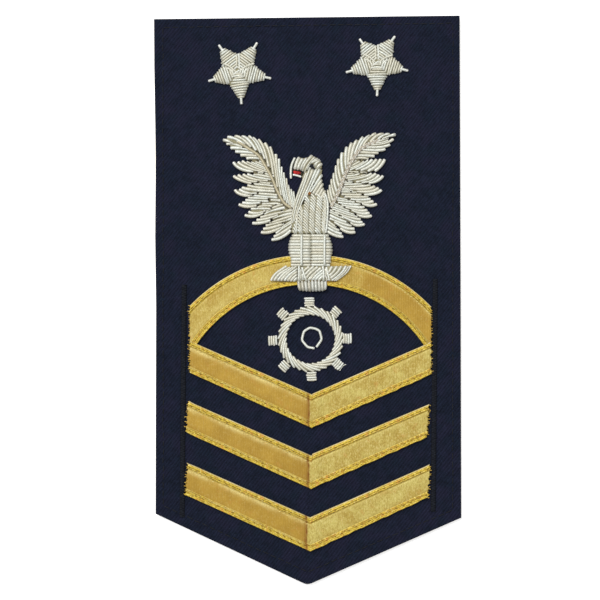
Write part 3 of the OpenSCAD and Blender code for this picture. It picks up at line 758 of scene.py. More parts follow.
# Chevrons from the lowest up, in shares of the lace's width: fold_x, left_out, right_out, left_lean,
# right_lean, then the two slopes in degrees
CHEVRONS = {
    "chevron_lower": [-0.015, 0.05, -0.02, -0.08, -0.09, 23.8, 23.8],
    "chevron_middle": [0.055, 0.04, -0.06, -0.06, -0.08, 23.4, 22.8],
    "chevron_upper": [0.07, -0.02, 0.01, 0, 0, 22.9, 23.2],
}
# How far the sewn lace wanders up from its true line, for the left arm and the right: upper edge at the fold and
# at the end, then lower edge at the fold and at the end
WANDER = {
    "chevron_lower": [[0.06, 0.24, 0.24, -0.06], [-0.06, -0.06, 0.0, -0.8]],
    "chevron_middle": [[-0.06, 0.3, 0.24, 0.12], [0.42, 0.6, 0.48, -0.06]],
    "chevron_upper": [[-0.25, 0.36, 0.0, 0.12], [-0.06, 0.18, 0.12, -0.3]],
}
# The painted highlights on the satin beside the borders, which streaked() draws
CHEVRON_STREAKS = [(True, True, 1.95, 0.95, 0.62), (False, True, 1.5, 0.35, 0.4), (True, False, 1.8, 0.9, 0.2)]
ROCKER_STREAKS = [(True, False, 1.9, 0.45, 0.45), (False, False, 1.6, 0.3, 0.35), (False, True, 2.6, 1.3, 0.13)]
# Rows of bright floats on each side of a chevron and on the rocker: distance across, pitch, share that is there
CHEVRON_DASHES = {-1: [(2.15, 1.3, 0.85), (LACE_W - 1.45, 1.6, 0.7)], 1: [(LACE_W - 1.6, 1.7, 0.6)]}
ROCKER_DASHES = [(2.05, 1.25, 0.95), (LACE_W - 1.3, 1.4, 0.85)]
ROCKER_IN, ROCKER_WIDER = 0.28, 1.05  # how much further in and wider the sewn rocker is than the solid
# Section of the lace: millimetres from its edge, height as a share of lace_t
EDGE_PROFILE = [
    [0, 0.0], [0.0, 0.55], [0.06, 0.84], [0.18, 0.97], [0.36, 0.96], [0.46, 0.86], [0.6, 0.97], [0.78, 1.0],
    [0.94, 0.96], [1.05, 0.84], [1.16, 0.95], [1.35, 1.0], [1.5, 0.95], [1.62, 0.84], [1.74, 0.7], [1.9, 0.74],
    [2.25, 0.78], [2.5, SATIN_H], [2.8, SATIN_H],
]  # fmt: skip
SATIN_SPOTS = [3.2, 3.7, 4.2, 4.85, 5.5, 6.0, 6.5]


def lace_section():
    """Distance across the lace and height of each point of its section; the underside closes it."""
    satin = [[d, SATIN_H] for d in SATIN_SPOTS]
    fall = [[LACE_W - d, h] for d, h in reversed(EDGE_PROFILE)]
    return np.array(EDGE_PROFILE + satin + fall).T


ACROSS, HEIGHT = lace_section()
SHARE = ACROSS / LACE_W


def on_section(d, x, y):
    """The point at that distance across the lace, between the points of a section."""
    return np.array([np.interp(d, ACROSS, x), np.interp(d, ACROSS, y)])


def lace_ring(x, y, relief, closed):
    """One section of the lace, with some relief on top; the section that closes an end is flat."""
    height = 0 * HEIGHT if closed else HEIGHT * LACE_T + relief * (HEIGHT > 0.3)
    return np.stack([x + DESIGN_X, y, BASE_Z + height], -1)


def ragged(share, seed):
    """How far the frayed end of the lace stands out at a share of its width."""
    rng = random.Random(seed)
    teeth = rng.randint(5, 7)
    shift = rng.random()
    saw = abs(((share * teeth + shift) % 1) * 2 - 1)
    return (saw - 0.5) * rng.uniform(0.5, 0.62) + 0.18 * float(ripple(share * LACE_W, 3.1, seed + 9))


def streaked(across, along, left_arm, streaks, seed):
    """How strong the painted highlights beside the borders are at each vertex. Each has its border (upper or
    not), its arm (left or not), its distance from the edge, its width and its strength."""
    edge = np.minimum(across, LACE_W - across)
    upper = across < LACE_W / 2
    streak = np.zeros_like(across)
    for on_upper, on_left, centre, width, strength in streaks:
        off = edge - centre - 0.08 * ripple(along, 17, seed + 3)
        line = np.exp(-((off / np.where(off > 0, width, width * 0.4)) ** 2))
        fade = np.clip(0.8 + 0.5 * ripple(along, 23, seed + int(centre * 10)), 0.2, 1)
        side = np.where(upper == on_upper, 1.0, 0.0) * np.where(left_arm == on_left, 1.0, 0.0)
        streak += side * strength * line * fade
    return np.clip(streak, 0, 1)


# The small threads of all the strips of lace are collected in these
LACE_STITCHES, LACE_DASHES, FRAY = Form(), Form(), Form()


def lace_stitch(point, ahead, rng):
    """One short couching stitch, slanted over the border."""
    slant = unit(ahead + left_of(ahead) * rng.uniform(-0.5, 0.5))
    half = slant * rng.uniform(0.4, 0.62)
    path = arched(point, half, STITCH_Z, 0.4, -0.12, 0.06)
    LACE_STITCHES.strand(path, 0.11, tone=rng.random(), sides=7, step=0.3)


def lace_dash(point, half, rng):
    """One bright float of thread beside a border."""
    half = np.array(half) * rng.uniform(0.7, 1.15)
    point = point + np.array([rng.uniform(-0.12, 0.12), rng.uniform(-0.07, 0.07)])
    path = arched(point, half, DASH_Z, 0.5, -0.1, 0.05)
    LACE_DASHES.strand(path, rng.uniform(0.1, 0.15), tone=rng.random(), sides=7, step=0.3)


def fray(point, side, rng):
    """A broken thread at the cut end of the lace on that side."""
    out = np.array([side, 0.0])
    z, turn = BASE_Z + rng.uniform(0.25, 0.85), rng.uniform(-0.7, 0.7)
    away = out * math.cos(turn) + left_of(out) * math.sin(turn)
    length = rng.uniform(0.25, 0.75)
    bend = left_of(away) * rng.uniform(-0.2, 0.2)
    middle, end = point + away * length * 0.5 + bend, point + away * length
    path = [[*(point - out * 0.4), z], [*middle, z], [*end, z - 0.15]]
    FRAY.strand(curve(path, 7), rng.uniform(0.11, 0.17), tone=rng.random(), sides=6, step=0.2)


def make_chevron(name, index, row):
    fold_x, left_out, right_out, left_lean, right_lean, left_slope, right_slope = row
    notch = np.array([fold_x * LACE_W, LOW_NOTCH_Y + index * CHEVRON_PITCH])
    crease = notch[0] - PLEAT_W / 4
    ends = {
        -1: (-CHEVRON_W / 2 - left_out * LACE_W, left_lean, left_slope),
        1: (CHEVRON_W / 2 + right_out * LACE_W, right_lean, right_slope),
    }
    seed = SEEDS["chevrons"] + index * 5

    def place(x_share, side):
        """A section's points; x_share runs from 0 at the notch to 1 at that end of the lace."""
        end_x, lean, slope = ends[side]
        out = np.array([ragged(s, seed + side) for s in SHARE]) * ease((x_share - 0.94) / 0.06) * side
        far_x = end_x + lean * LACE_W * SHARE
        x = mix(notch[0], far_x, x_share) + out
        rise = abs(end_x - notch[0]) * math.tan(math.radians(slope))
        near_y = notch[1] - SHARE * (LACE_RISE + FOLD_POINT)
        far_y = notch[1] + rise - SHARE * LACE_RISE
        wave = 0.14 * ripple(x, 7.5, seed + side) * ease((SHARE - 0.8) / 0.2) * (side > 0)
        upper_near, upper_far, lower_near, lower_far = WANDER[name][0 if side < 0 else 1]
        wander = mix(mix(upper_near, upper_far, x_share), mix(lower_near, lower_far, x_share), SHARE)
        return x, mix(near_y, far_y, x_share) + wave + wander * UPRIGHT

    spots = [(s, -1) for s in np.linspace(1, 0, ARM_COLUMNS)]
    spots += [(s, 1) for s in np.linspace(0, 1, ARM_COLUMNS)[1:]]
    # The pleat's edge needs close columns
    close = (-0.6, -0.45, -0.3, -0.15, -0.04, 0.04, 0.15, 0.3, 0.45, 0.6)
    spots += [((notch[0] - crease + d) / abs(ends[-1][0] - notch[0]), -1) for d in close]
    spots.sort(key=lambda spot: spot[0] * spot[1])
    spots = [spots[0], *spots, spots[-1]]
    rings, xs = [], []
    for k, spot in enumerate(spots):
        x, y = place(*spot)
        off = x - crease
        fold = PLEAT_T * ease((off + 0.06) / 0.12) * (1 - ease((off - PLEAT_W * 0.6) / (PLEAT_W * 0.7)))
        dip = -0.08 * np.exp(-(((off + 0.3) / 0.5) ** 2))
        rings.append(lace_ring(x, y, fold + dip + 0.02 * ripple(x, 11, seed), k in (0, len(spots) - 1)))
        xs.append(x)
    x = np.concatenate(xs)
    left, along, across = x < crease, x / math.cos(MEAN_SLOPE), np.tile(ACROSS, len(rings))
    # Painted shade: a dark line along the crease of the mitre, and shade that fades out to its left
    off = x - crease - 0.16 * ripple(across, 6.5, seed + 4)
    painted_crease = np.exp(-((off / 0.36) ** 2)) * (0.75 + 0.25 * ripple(across, 3.7, seed + 8))
    painted_crease += 0.42 * np.exp(off / 1.4) * (off < 0) * (1 - np.exp(-((off / 0.3) ** 2)))
    painted_crease = np.clip(painted_crease, 0, 1)
    # Painted highlights beside the borders, none on the crease
    streak = streaked(across, along, left, CHEVRON_STREAKS, seed) * (1 - painted_crease)
    form = Form()
    # arm is a painted sheen: the right arm's satin lit, the left one's in shade
    form.loft(rings, along=along, across=across, arm=np.where(left, 0.0, 1.0), streak=streak, mark=painted_crease)
    make(name, form, [LACE], "gold_lace", [name])
    rng = random.Random(seed)
    for side in (-1, 1):
        span = abs(ends[side][0] - notch[0])
        count = int(span / math.cos(MEAN_SLOPE) / STITCH_PITCH)
        for d in (STITCH_IN, LACE_W - STITCH_IN):
            for k in range(count):
                x_share = (k + 0.6 + rng.uniform(-0.15, 0.15)) / count
                p, q = (on_section(d, *place(s, side)) for s in (x_share, min(1, x_share + 0.01)))
                lace_stitch(p + [DESIGN_X, 0], unit(q - p), rng)
        for d, pitch, chance in CHEVRON_DASHES[side]:
            for k in range(int(span / pitch)):
                if rng.random() > chance:
                    continue
                p = on_section(d, *place((k + 0.5) / int(span / pitch), side))
                lace_dash(p + [DESIGN_X, 0], (0.42, -0.05 * side), rng)
        tip = place(1.0, side)
        for k in range(CHEVRON_FRAYS):
            p = on_section((k + rng.uniform(0.2, 0.8)) / CHEVRON_FRAYS * LACE_W, *tip)
            fray(p + [DESIGN_X, 0], side, rng)


def rocker_radius(d):
    """Radius of the rocker at that distance across its lace."""
    return ROCKER_R - ROCKER_IN - d * ROCKER_WIDER


def on_rocker(angle, radius):
    """The point of the rocker at that angle from the top."""
    return np.array([DESIGN_X + radius * math.sin(angle), ROCKER_Y + radius * math.cos(angle)])


def make_rocker():
    row = CHEVRONS["chevron_upper"]
    notch = np.array([row[0] * LACE_W, LOW_NOTCH_Y + 2 * CHEVRON_PITCH])
    limits = {-1: CHEVRON_W / 2 + row[1] * LACE_W, 1: CHEVRON_W / 2 + row[2] * LACE_W}
    slopes = {-1: math.tan(math.radians(row[5])), 1: math.tan(math.radians(row[6]))}

    def end_angle(radius, side):
        """Where the lace is cut off: beside the seam, or behind the upper chevron."""
        angles = np.linspace(0, math.radians(80), 4000)
        x, y = radius * np.sin(angles), ROCKER_Y + radius * np.cos(angles)
        line = notch[1] + abs(x * side - notch[0]) * slopes[side] + GAP
        return angles[np.argmax((x > limits[side]) | (y < line))]

    radii = rocker_radius(ACROSS)
    stop = {}
    for side in (-1, 1):
        out = np.array([ragged(s * 1.3, SEEDS["rocker_ends"] + side) * 1.1 for s in SHARE]) / radii
        stop[side] = np.array([end_angle(r, side) for r in radii]) + out * (SHARE < 0.82)
    rings, angles = [], []
    for k, s in enumerate([-1, *np.linspace(-1, 1, ROCKER_COLUMNS), 1]):
        angle = stop[1 if s > 0 else -1] * s
        x, y = radii * np.sin(angle), ROCKER_Y + radii * np.cos(angle)
        rings.append(lace_ring(x, y, 0.015 * ripple(angle * 50, 9, 31), k in (0, ROCKER_COLUMNS + 1)))
        angles.append(angle)
    angles = np.concatenate(angles)
    along, across = angles * (ROCKER_R - LACE_W / 2), np.tile(ACROSS, len(rings))
    # arm is a painted sheen: the satin most lit towards the left and in shade at the right end
    arm = np.interp(along, [-2, 4, 17.5, 20], [0.7, 0.4, 0.35, 0])
    # Painted highlights beside the borders
    streak = streaked(across, along, angles < 0, ROCKER_STREAKS, SEEDS["rocker_streaks"])
    form = Form()
    form.loft(rings, along=along, across=across, arm=arm, streak=streak)
    make("rocker", form, [LACE], "gold_lace", ["rocker"])
    rng = random.Random(SEEDS["rocker"])
    for d in (STITCH_IN, LACE_W - STITCH_IN):
        radius = rocker_radius(d)
        span = [np.interp(d, ACROSS, stop[s]) for s in (-1, 1)]
        count = int(radius * sum(span) / STITCH_PITCH)
        for k in range(count):
            a = -span[0] + sum(span) * (k + 0.5 + rng.uniform(-0.15, 0.15)) / count
            lace_stitch(on_rocker(a, radius), np.array([math.cos(a), -math.sin(a)]), rng)
    for d, pitch, chance in ROCKER_DASHES:
        radius = rocker_radius(d)
        for k in range(int(radius * 0.95 / pitch)):
            a = 0.12 + (k + 0.5) * pitch / radius
            if a > np.interp(d, ACROSS, stop[1]) - 0.01 or rng.random() > chance:
                continue
            lean = a - 0.25
            lace_dash(on_rocker(a, radius), (0.42 * math.cos(lean), -0.42 * math.sin(lean)), rng)
    for side in (-1, 1):
        for k in range(ROCKER_FRAYS):
            d = (k + rng.uniform(0.2, 0.8)) / ROCKER_FRAYS * LACE_W * 0.8
            fray(on_rocker(np.interp(d, ACROSS, stop[side]) * side, rocker_radius(d)), side, rng)


# ---------------------------------------------------------------- gear


def make_gear():
    centre = np.array([DESIGN_X, GEAR_Y])
    rng = random.Random(SEEDS["gear"])
    rim = Form()
    middle = centre + np.array([RIM_SHIFT, 0.0])
    count, sweep = 30, math.radians(39)
    for k in range(count):
        start = math.radians(360 * (k + rng.uniform(-0.05, 0.05)) / count)
        t = np.linspace(0, 1, 15)
        angle = start - sweep * t
        outer, inner = RIM_R + 0.02 + rng.uniform(-0.1, 0.12), RIM_R - RIM_W + 0.22 + rng.uniform(-0.08, 0.08)
        radius = mix(outer, inner, t)
        spiral = np.stack([radius * np.cos(angle), radius * np.sin(angle)], 1)
        flat = mix(spiral, mix(spiral[0], spiral[-1], t[:, None]), 0.35)
        share = np.clip((np.linalg.norm(flat, axis=1) - (RIM_R - RIM_W)) / RIM_W, 0, 1)
        z = BASE_Z + PURL_R + (RIM_T - 2 * PURL_R) * np.sin(math.pi * np.clip(share, 0.06, 0.94)) ** 0.45
        z[[0, -1]] -= 0.05
        rim.strand(np.c_[flat + middle, z], tone=rng.random(), whiten=0.5)
    section = [[0.03, 0], [0.06, 0.4], [0.2, 0.75], [0.5, 0.92], [0.8, 0.75], [0.94, 0.4], [0.97, 0]]
    turns = np.linspace(0, 2 * math.pi, 97)[:-1]
    bottom, rise = RIM_R - RIM_W, RIM_T - 0.35
    rings = [[[*(middle + polar(a, bottom + d * RIM_W)), BASE_Z + h * rise] for d, h in section] for a in turns]
    add_ring(rim, np.array(rings), 1)
    bullion("gear_rim", rim, FELT)
    for k in range(8):
        make_tooth(k, centre, rng)
    make_hub()


def add_ring(form, rings, kind):
    """A closed loop of sections, such as a rim."""
    n, m = rings.shape[:2]
    corners = [(i * m, (i + 1) % n * m, j, (j + 1) % m) for i in range(n) for j in range(m)]
    form.add(rings.reshape(-1, 3), [(a + j, b + j, b + k, a + k) for a, b, j, k in corners], kind)


def make_tooth(k, centre, rng):
    """Four strands laid across the radius, outside the rim."""
    form = Form()
    angle = math.radians(FIRST_TOOTH - 45 * k + rng.uniform(-1, 1))
    out, across = polar(angle), left_of(polar(angle))
    for i in range(4):
        reach = RIM_R + GAP + STRAND_D / 2 + i * TOOTH_PITCH - 0.04
        half = TOOTH_L / 2 * rng.uniform(0.88, 0.98)
        slip, bow = rng.uniform(-0.16, 0.16), rng.uniform(0.02, 0.16)
        path = []
        for w in np.linspace(-1, 1, 9):
            flat = centre + out * (reach - bow * (w * w - 0.4)) + across * (half * w + slip)
            path.append([*flat, BASE_Z + PURL_R + 0.18 * (1 - w**4) - 0.03])
        form.strand(path, PURL_R, 0.93, rng.random())
    bullion(f"gear_tooth_{k + 1}", form)


# The hub ring's bends, in eagle steps from the gear's centre
HUB_BENDS = [
    [6.3, -8.1], [11.8, -0.2], [9.6, 8.3], [5.7, 10.4], [-0.2, 11.5], [-6.2, 7.8], [-8.3, -1], [-2.5, -8],
    [4.6, -9.2],
]  # fmt: skip
# The loose thread beside the gear, in chart units
LOOSE_THREAD = [[339.5, 371], [341.5, 368], [344, 365.2], [346.2, 364.6]]


def make_hub():
    """One strand bent into a many-sided ring."""
    bends = np.array(HUB_BENDS) * STEP + [DESIGN_X, GEAR_Y]
    middles = [mix(a, b, t) for a, b in zip(bends, bends[1:]) for t in np.linspace(0.08, 0.92, 5)]
    path = np.array([bends[0], *middles, bends[-1]])
    smooth = path.copy()
    smooth[1:-1] = 0.25 * path[:-2] + 0.5 * path[1:-1] + 0.25 * path[2:]
    form = Form()
    form.strand(level(smooth, BASE_Z + PURL_R), 0.45, tone=0.85, step=0.3, whiten=0.3)
    bullion("gear_hub", form)
    loose = Form()
    tail = np.array(LOOSE_THREAD)
    tail = np.stack([(tail[:, 0] - CHART_X) * STEP + DESIGN_X, (CHART_GEAR_Y - tail[:, 1]) * STEP + GEAR_Y], 1)
    loose.strand(np.c_[curve(tail, 14), np.linspace(BASE_Z + 0.5, BASE_Z + 0.15, 14)], 0.14, tone=0.8, sides=7)
    make("loose_thread", loose, [SILVER], "silver_bullion")


# ---------------------------------------------------------------- stars

# Arms of a star: angle in degrees, reach of the tip strand as a share of STAR_R
STARS = {
    "star_left": ([-23.6, 77.75], [[55.4, 1.02], [127.2, 0.97], [199.6, 0.94], [276.2, 1], [346.9, 1.01]]),
    "star_right": ([23.6, 80.75], [[55.6, 0.94], [127.7, 0.87], [198.9, 0.98], [270.5, 1.02], [344, 0.96]]),
}
STAR_SHARES, STAR_HEIGHTS = [0, 0.25, 0.6, 1], [1.8, 1.8, 1.46, 0.95]
# Strands over the middle of a star, in eagle steps from its centre with Y downwards, and their tones
STAR_MIDDLE = [
    ([[-1.9, -14.5], [-1.6, -10], [-1.8, -4.5]], 0.0),
    ([[-14, -7.4], [-9, -5], [-4.4, -1.2], [-2, 0.8]], 0.3),
    ([[15.8, -7], [9.5, -4.8], [4.4, -1.6], [1.6, 1.2]], 0.35),
    ([[-11.6, -2.6], [-8, -1], [-5.2, 2.6], [-4.8, 5.4]], 0.4),
    ([[11.4, -2.4], [8, -0.6], [5.4, 2.8]], 0.6),
    ([[-6, 6.2], [-1, 5.2], [5.8, 6]], 0.6),
    ([[-4.6, 3.4], [-0.6, 2.8], [3.8, 3.2]], 0.3),
    ([[0.5, -17], [0.9, -9], [1, -1.6]], 0.8),
    ([[-4.4, 3.6], [-2, 2], [1.4, -0.6]], 1.0),
]


def make_star(name, centre, arms, seed):
    rng = random.Random(seed)
    form = Form()
    centre = np.array(centre)
    notch_d, notch_half = polar(ARM_ANGLE, ARM_NOTCH * STAR_R)
    for angle, reach in arms:
        out = polar(math.radians(angle))
        across = left_of(out)
        end, tip_half = reach * ARM_END * STAR_R, ARM_HALF * STAR_R
        count = int(round((end - 0.5) / STAR_PITCH))
        bare = rng.uniform(0.5, 1.2)
        for k in range(count):
            d = end - PURL_R - k * STAR_PITCH + rng.uniform(-0.03, 0.03)
            if d < bare:
                continue
            if d < notch_d:
                half = d * math.tan(ARM_ANGLE)
            else:
                half = np.interp(d, [notch_d, end], [notch_half, tip_half - 0.5])
            half = half + (rng.uniform(-0.08, 0.22) if d > notch_d else rng.uniform(-0.25, 0.2))
            ridge = np.interp(d / (reach * STAR_R), STAR_SHARES, STAR_HEIGHTS)
            side_z = np.interp(min(1.0, d / notch_d), STAR_SHARES, STAR_HEIGHTS)
            tilt = rng.uniform(-0.05, 0.05)
            path = []
            for w in np.linspace(-1, 1, 11):
                high = mix(ridge, side_z, abs(w) ** 2.2) - PURL_R
                high -= 0.28 * ease((abs(w) - 0.8) / 0.2) * (d > notch_d)
                path.append([*(centre + out * (d + tilt * w * half) + across * half * w), BASE_Z + high])
            form.strand(path, PURL_R, 0.9, rng.random(), whiten=0.6 if d > notch_d else 0.3)
        stub = [centre + out * v for v in np.linspace(end - 0.9, reach * STAR_R, 6)]
        bend = across * rng.uniform(-0.25, 0.25)
        path = [[*(p + bend * (i / 5) ** 2), BASE_Z + 0.48 + 0.12 * (1 - i / 5)] for i, p in enumerate(stub)]
        form.strand(path, 0.48, tone=0.95, whiten=1.2)
    for row, tone in STAR_MIDDLE:
        flat = curve([[x * STEP, -y * STEP] for x, y in row], 14) + rng.uniform(-0.12, 0.12)
        far = np.linalg.norm(flat, axis=1) / STAR_R
        z = BASE_Z + np.interp(far, STAR_SHARES, STAR_HEIGHTS) - 0.4 + 0.1 * np.sin(np.linspace(0, math.pi, 14))
        form.strand(np.c_[flat + centre, z], 0.36, tone=tone, whiten=0.25)
    outline = []
    for k, (angle, reach) in enumerate(arms):
        turn = (angle - arms[k - 1][0]) % 360
        out = polar(math.radians(angle))
        end = out * reach * ARM_END * STAR_R
        outline.append(polar(math.radians(angle - turn / 2), ARM_NOTCH * STAR_R))
        outline += [end - left_of(out) * ARM_HALF * STAR_R, end + left_of(out) * ARM_HALF * STAR_R]
    outline = np.array(outline)
    steps = [[0.97, 0.0], [0.97, 0.5], [0.62, 0.95], [0.27, 1.35]]
    form.loft([level(centre + outline * s, BASE_Z + h) for s, h in steps], 1)
    bullion(name, form, FELT)


# ---------------------------------------------------------------- eagle

# The line of each rib, from the wing's tip to the body, in eagle steps
LEFT_ROOT = [
    [-73, 124.5], [-60, 116], [-51, 109.5], [-44, 98.5], [-38, 87.5], [-33, 75.5], [-26.5, 63.5], [-19.5, 57.5],
    [-18.4, 51.5], [-18.3, 43.5], [-18.3, 34.5],
]  # fmt: skip
RIGHT_ROOT = [
    [71, 126], [60, 122], [50, 116], [42.5, 106], [37, 95.5], [32.5, 84.5], [28, 72.5], [21.5, 59.5], [19, 52.5],
    [18, 44.5], [17.2, 34.5],
]  # fmt: skip
RIB_END = 7  # the rib ends at this point of its line
# Strands of each feather from its lower edge up: tip, middle and root, in chart units
LEFT_STRANDS = [
    [[246.5, 158.2, 252, 157.8, 260, 158.4], [240.5, 155, 248, 155, 257.5, 155.8],
     [235.3, 151.4, 244, 151.8, 254, 153], [230.6, 147.8, 239, 148, 250, 150.2],
     [226.5, 143.8, 235, 144.3, 243.5, 147.4]],
    [[233.5, 161.8, 240.5, 168.3, 253.5, 171.4], [238, 161.6, 247.5, 167.6, 264, 172],
     [242, 160.8, 253, 166.8, 268, 172], [246.8, 161.4, 257, 166.2, 267.5, 170.2],
     [251, 161.8, 259, 165, 266.5, 168.4], [255.5, 161.6, 261, 163.7, 265.4, 166.2],
     [259.3, 160.8, 262, 162, 264.4, 164]],
    [[233.5, 175.6, 241.5, 180.3, 251.5, 183.2], [238, 174.6, 247.5, 180, 257.5, 181.4],
     [243, 174, 253, 178.8, 268, 180.6], [247.3, 173.8, 257, 177, 271, 179.4],
     [253.5, 174.4, 261, 175.1, 271, 177.2], [257.6, 172.6, 263, 172.9, 269.4, 174.8]],
    [[235, 189.4, 240.5, 193.9, 250.5, 195.6], [239.3, 189, 247, 192.6, 257, 193],
     [242, 187.2, 253, 189.7, 275, 191.2], [247.5, 184.8, 258, 187.3, 274.5, 188.6],
     [253.5, 183.9, 262, 184.4, 273.5, 185.8], [259.5, 181.5, 265, 182.6, 272.5, 183.4]],
    [[238.8, 204, 247, 206.3, 257, 205.2], [242.3, 202.3, 251, 203.2, 260.5, 202.4],
     [245.5, 199.8, 257, 200.7, 268.5, 201], [248, 197.4, 258, 198.1, 268, 198.5],
     [250.5, 194.9, 262, 196.2, 277.5, 197.4], [258.3, 193.2, 267, 193.9, 277.5, 195],
     [270.8, 199.4, 275, 199.9, 281, 200.2]],
    [[244.8, 214.8, 254, 216, 263.5, 212.6], [248.5, 211.4, 256, 213, 265.5, 210.3],
     [250.8, 208.6, 260, 208.4, 270.5, 208.4], [257.5, 207, 264, 205.6, 272, 205.9],
     [262, 203.7, 270, 203.4, 280.5, 203.6]],
    [[252.3, 222.8, 261, 222.6, 270.5, 220], [256.5, 219.7, 266, 218.6, 278, 214.6],
     [260.3, 217, 269, 215, 284, 211.2], [264.5, 214, 272, 210.6, 285, 207.4],
     [266, 211.4, 274, 207.1, 283, 204.4], [273, 218.3, 281, 215.6, 292, 213],
     [280, 213, 286, 211.2, 292, 209.8]],
    [[261, 231.8, 270, 231.7, 281, 227], [263.2, 228.6, 272, 227.3, 284, 223.4],
     [265.8, 225.3, 275, 223.3, 285.5, 220.4], [269.5, 222.8, 280, 219.4, 292, 215.6],
     [282.5, 221.4, 287, 219.9, 292, 218]],
    [[271.5, 239.3, 281.5, 237, 291, 229.8], [273.7, 236.4, 281.5, 232.8, 291.3, 226.2],
     [275.8, 233, 283, 228, 291.6, 222.6], [280.3, 228.4, 286, 224.1, 292, 220.6]],
]  # fmt: skip
RIGHT_STRANDS = [
    [[368.5, 158.6, 361.5, 157.8, 354, 158.6], [374.5, 156, 367, 155.4, 356.5, 155.3],
     [378.3, 152.8, 370, 152.6, 359.5, 152], [385.3, 148.8, 377, 150.2, 362, 149.5],
     [390, 144.3, 380, 147, 366, 147], [393.3, 138.7, 384, 143.4, 370.5, 144.6],
     [388, 139.9, 382, 142.2, 374.5, 142.6], [388.6, 137.6, 382.5, 139.8, 377, 140.9]],
    [[366.5, 172.3, 357, 171.9, 347, 171.4], [384.6, 159, 380.7, 165.5, 374.6, 170.7],
     [380.6, 158.8, 375.6, 166, 367.5, 171], [376.5, 159, 370.3, 165.6, 360.5, 170.3],
     [372.3, 159.2, 365.8, 164.8, 355.5, 169.6], [368, 159.6, 361, 164.8, 349.5, 170],
     [364.2, 160.9, 357.5, 165, 347.5, 169], [360, 161, 354.5, 164, 348.5, 167],
     [356.5, 159.9, 353.4, 162, 350, 164.4]],
    [[353.4, 182.1, 349, 181.5, 344, 181.1], [383, 175.4, 377, 180.6, 368.5, 183],
     [379, 174.6, 372, 180.2, 361.5, 182.4], [375.8, 173.2, 368, 178.6, 356, 181.8],
     [371.5, 173, 364, 176.8, 347.5, 180.2], [366.5, 173.4, 358, 176.6, 345.5, 178],
     [359.5, 173.4, 353.5, 175.2, 345.5, 175.8], [354.5, 173, 350.5, 173.3, 345.5, 173.6]],
    [[353.2, 190.3, 347, 190, 341, 189.9], [350, 188.9, 345.5, 188.3, 341.4, 188.2],
     [381.5, 189.6, 374.5, 193.3, 364, 194.4], [378.5, 187.6, 370, 191.3, 357, 191.2],
     [374.8, 186, 366, 188.8, 350, 188.6], [370.5, 184.6, 360, 186.2, 343.5, 186.8],
     [362, 183.8, 355, 184, 344, 184.6], [351, 182.7, 347.5, 182.8, 343.5, 182.6]],
    [[350.8, 200.4, 344, 199, 337, 197.6], [376.8, 203.7, 370, 205.3, 361.5, 203.2],
     [373.3, 200.8, 366, 202.3, 356, 201], [370.6, 198.6, 362, 199.5, 350.5, 199],
     [368.3, 196.4, 359, 196.9, 344, 196.6], [361.5, 194.2, 354, 194.5, 341.5, 194.2],
     [357, 191.8, 350.5, 191.9, 341, 191.6]],
    [[345.4, 207.9, 339.6, 205.6, 333, 202.6], [371.8, 215.4, 364, 216.4, 357, 214.4],
     [369.5, 212.6, 361, 213.2, 351.5, 209.9], [367.3, 209.8, 358.5, 210.2, 345.5, 206.8],
     [364.5, 206.6, 356, 207, 341.5, 204.8], [360.5, 204, 351, 204, 338, 202.4],
     [355, 201.6, 347, 201.4, 336.5, 199.6]],
    [[338.4, 214.6, 333.8, 212, 330, 209.6], [364.7, 223.8, 357, 225, 350.5, 222.4],
     [362.5, 221.6, 354, 221.3, 342, 215.8], [360.7, 219, 350, 217.2, 334.8, 211.8],
     [357.5, 216.4, 347, 214, 332, 208.8], [354.5, 214.2, 344, 211, 331.6, 206.4],
     [349.5, 210.6, 341, 207.8, 331, 204]],
    [[355.3, 231.6, 348, 231.8, 340.3, 228], [354.5, 228.3, 345, 227.4, 334, 221.6],
     [351.8, 225.4, 343, 223.5, 329.5, 218], [349.5, 222.6, 340, 219.6, 329.5, 214.8],
     [345.5, 218.4, 338, 215.8, 329.5, 211.6]],
    [[343.3, 236.3, 336, 235.3, 327, 231], [341.8, 233.4, 335, 231.5, 327, 227],
     [339.3, 230.2, 333.5, 227.8, 327.5, 223.6], [336.5, 226.4, 332, 224, 328, 220.6]],
]  # fmt: skip
# Dark places between the strands, where the cloth shows in shade; dark specks of thread stand there, partly
# painted shade: x, y, length, in chart units
LEFT_DOTS = [
    [243, 147, 2], [250.3, 160.6, 2.4], [257.5, 160, 2], [251.6, 172.6, 2.4], [257, 171.6, 1.6], [264, 173.2, 2],
    [253.6, 184.2, 2], [257.5, 182.2, 1.8], [271, 183.6, 2], [253, 194.6, 3.2], [257.8, 192.6, 1.8],
    [268.8, 199.8, 2], [261.3, 201.4, 2], [257.4, 205.1, 2.4], [275.8, 204.6, 2.4], [271.4, 208, 2],
    [281.6, 210.3, 2], [271.2, 218.8, 2], [271, 221.5, 1.8], [282.6, 223, 2], [260.4, 153.5, 1.8],
    [272.6, 174.5, 1.8], [270.2, 168.6, 1.6],
]  # fmt: skip
RIGHT_DOTS = [
    [360, 159.8, 2.4], [364.6, 160, 2], [349.3, 172, 1.8], [353.4, 172.3, 1.6], [359.3, 171.9, 1.6],
    [364.2, 173, 4.2], [371.3, 171.4, 1.8], [347.4, 181, 2], [353.2, 182.3, 2], [365.3, 183.4, 2.2],
    [350.6, 191.3, 2], [362.4, 194.1, 2], [344.2, 196, 2.2], [348.4, 199.2, 3], [339.4, 203.4, 2],
    [344.2, 207.2, 2], [350, 209.3, 1.8], [355, 213.2, 3], [334.4, 210.2, 2.2], [361.2, 203.7, 1.8],
    [347.8, 222, 3.8], [345, 217.4, 1.6], [339.2, 215.3, 1.6], [335.8, 225.4, 2.4],
]  # fmt: skip
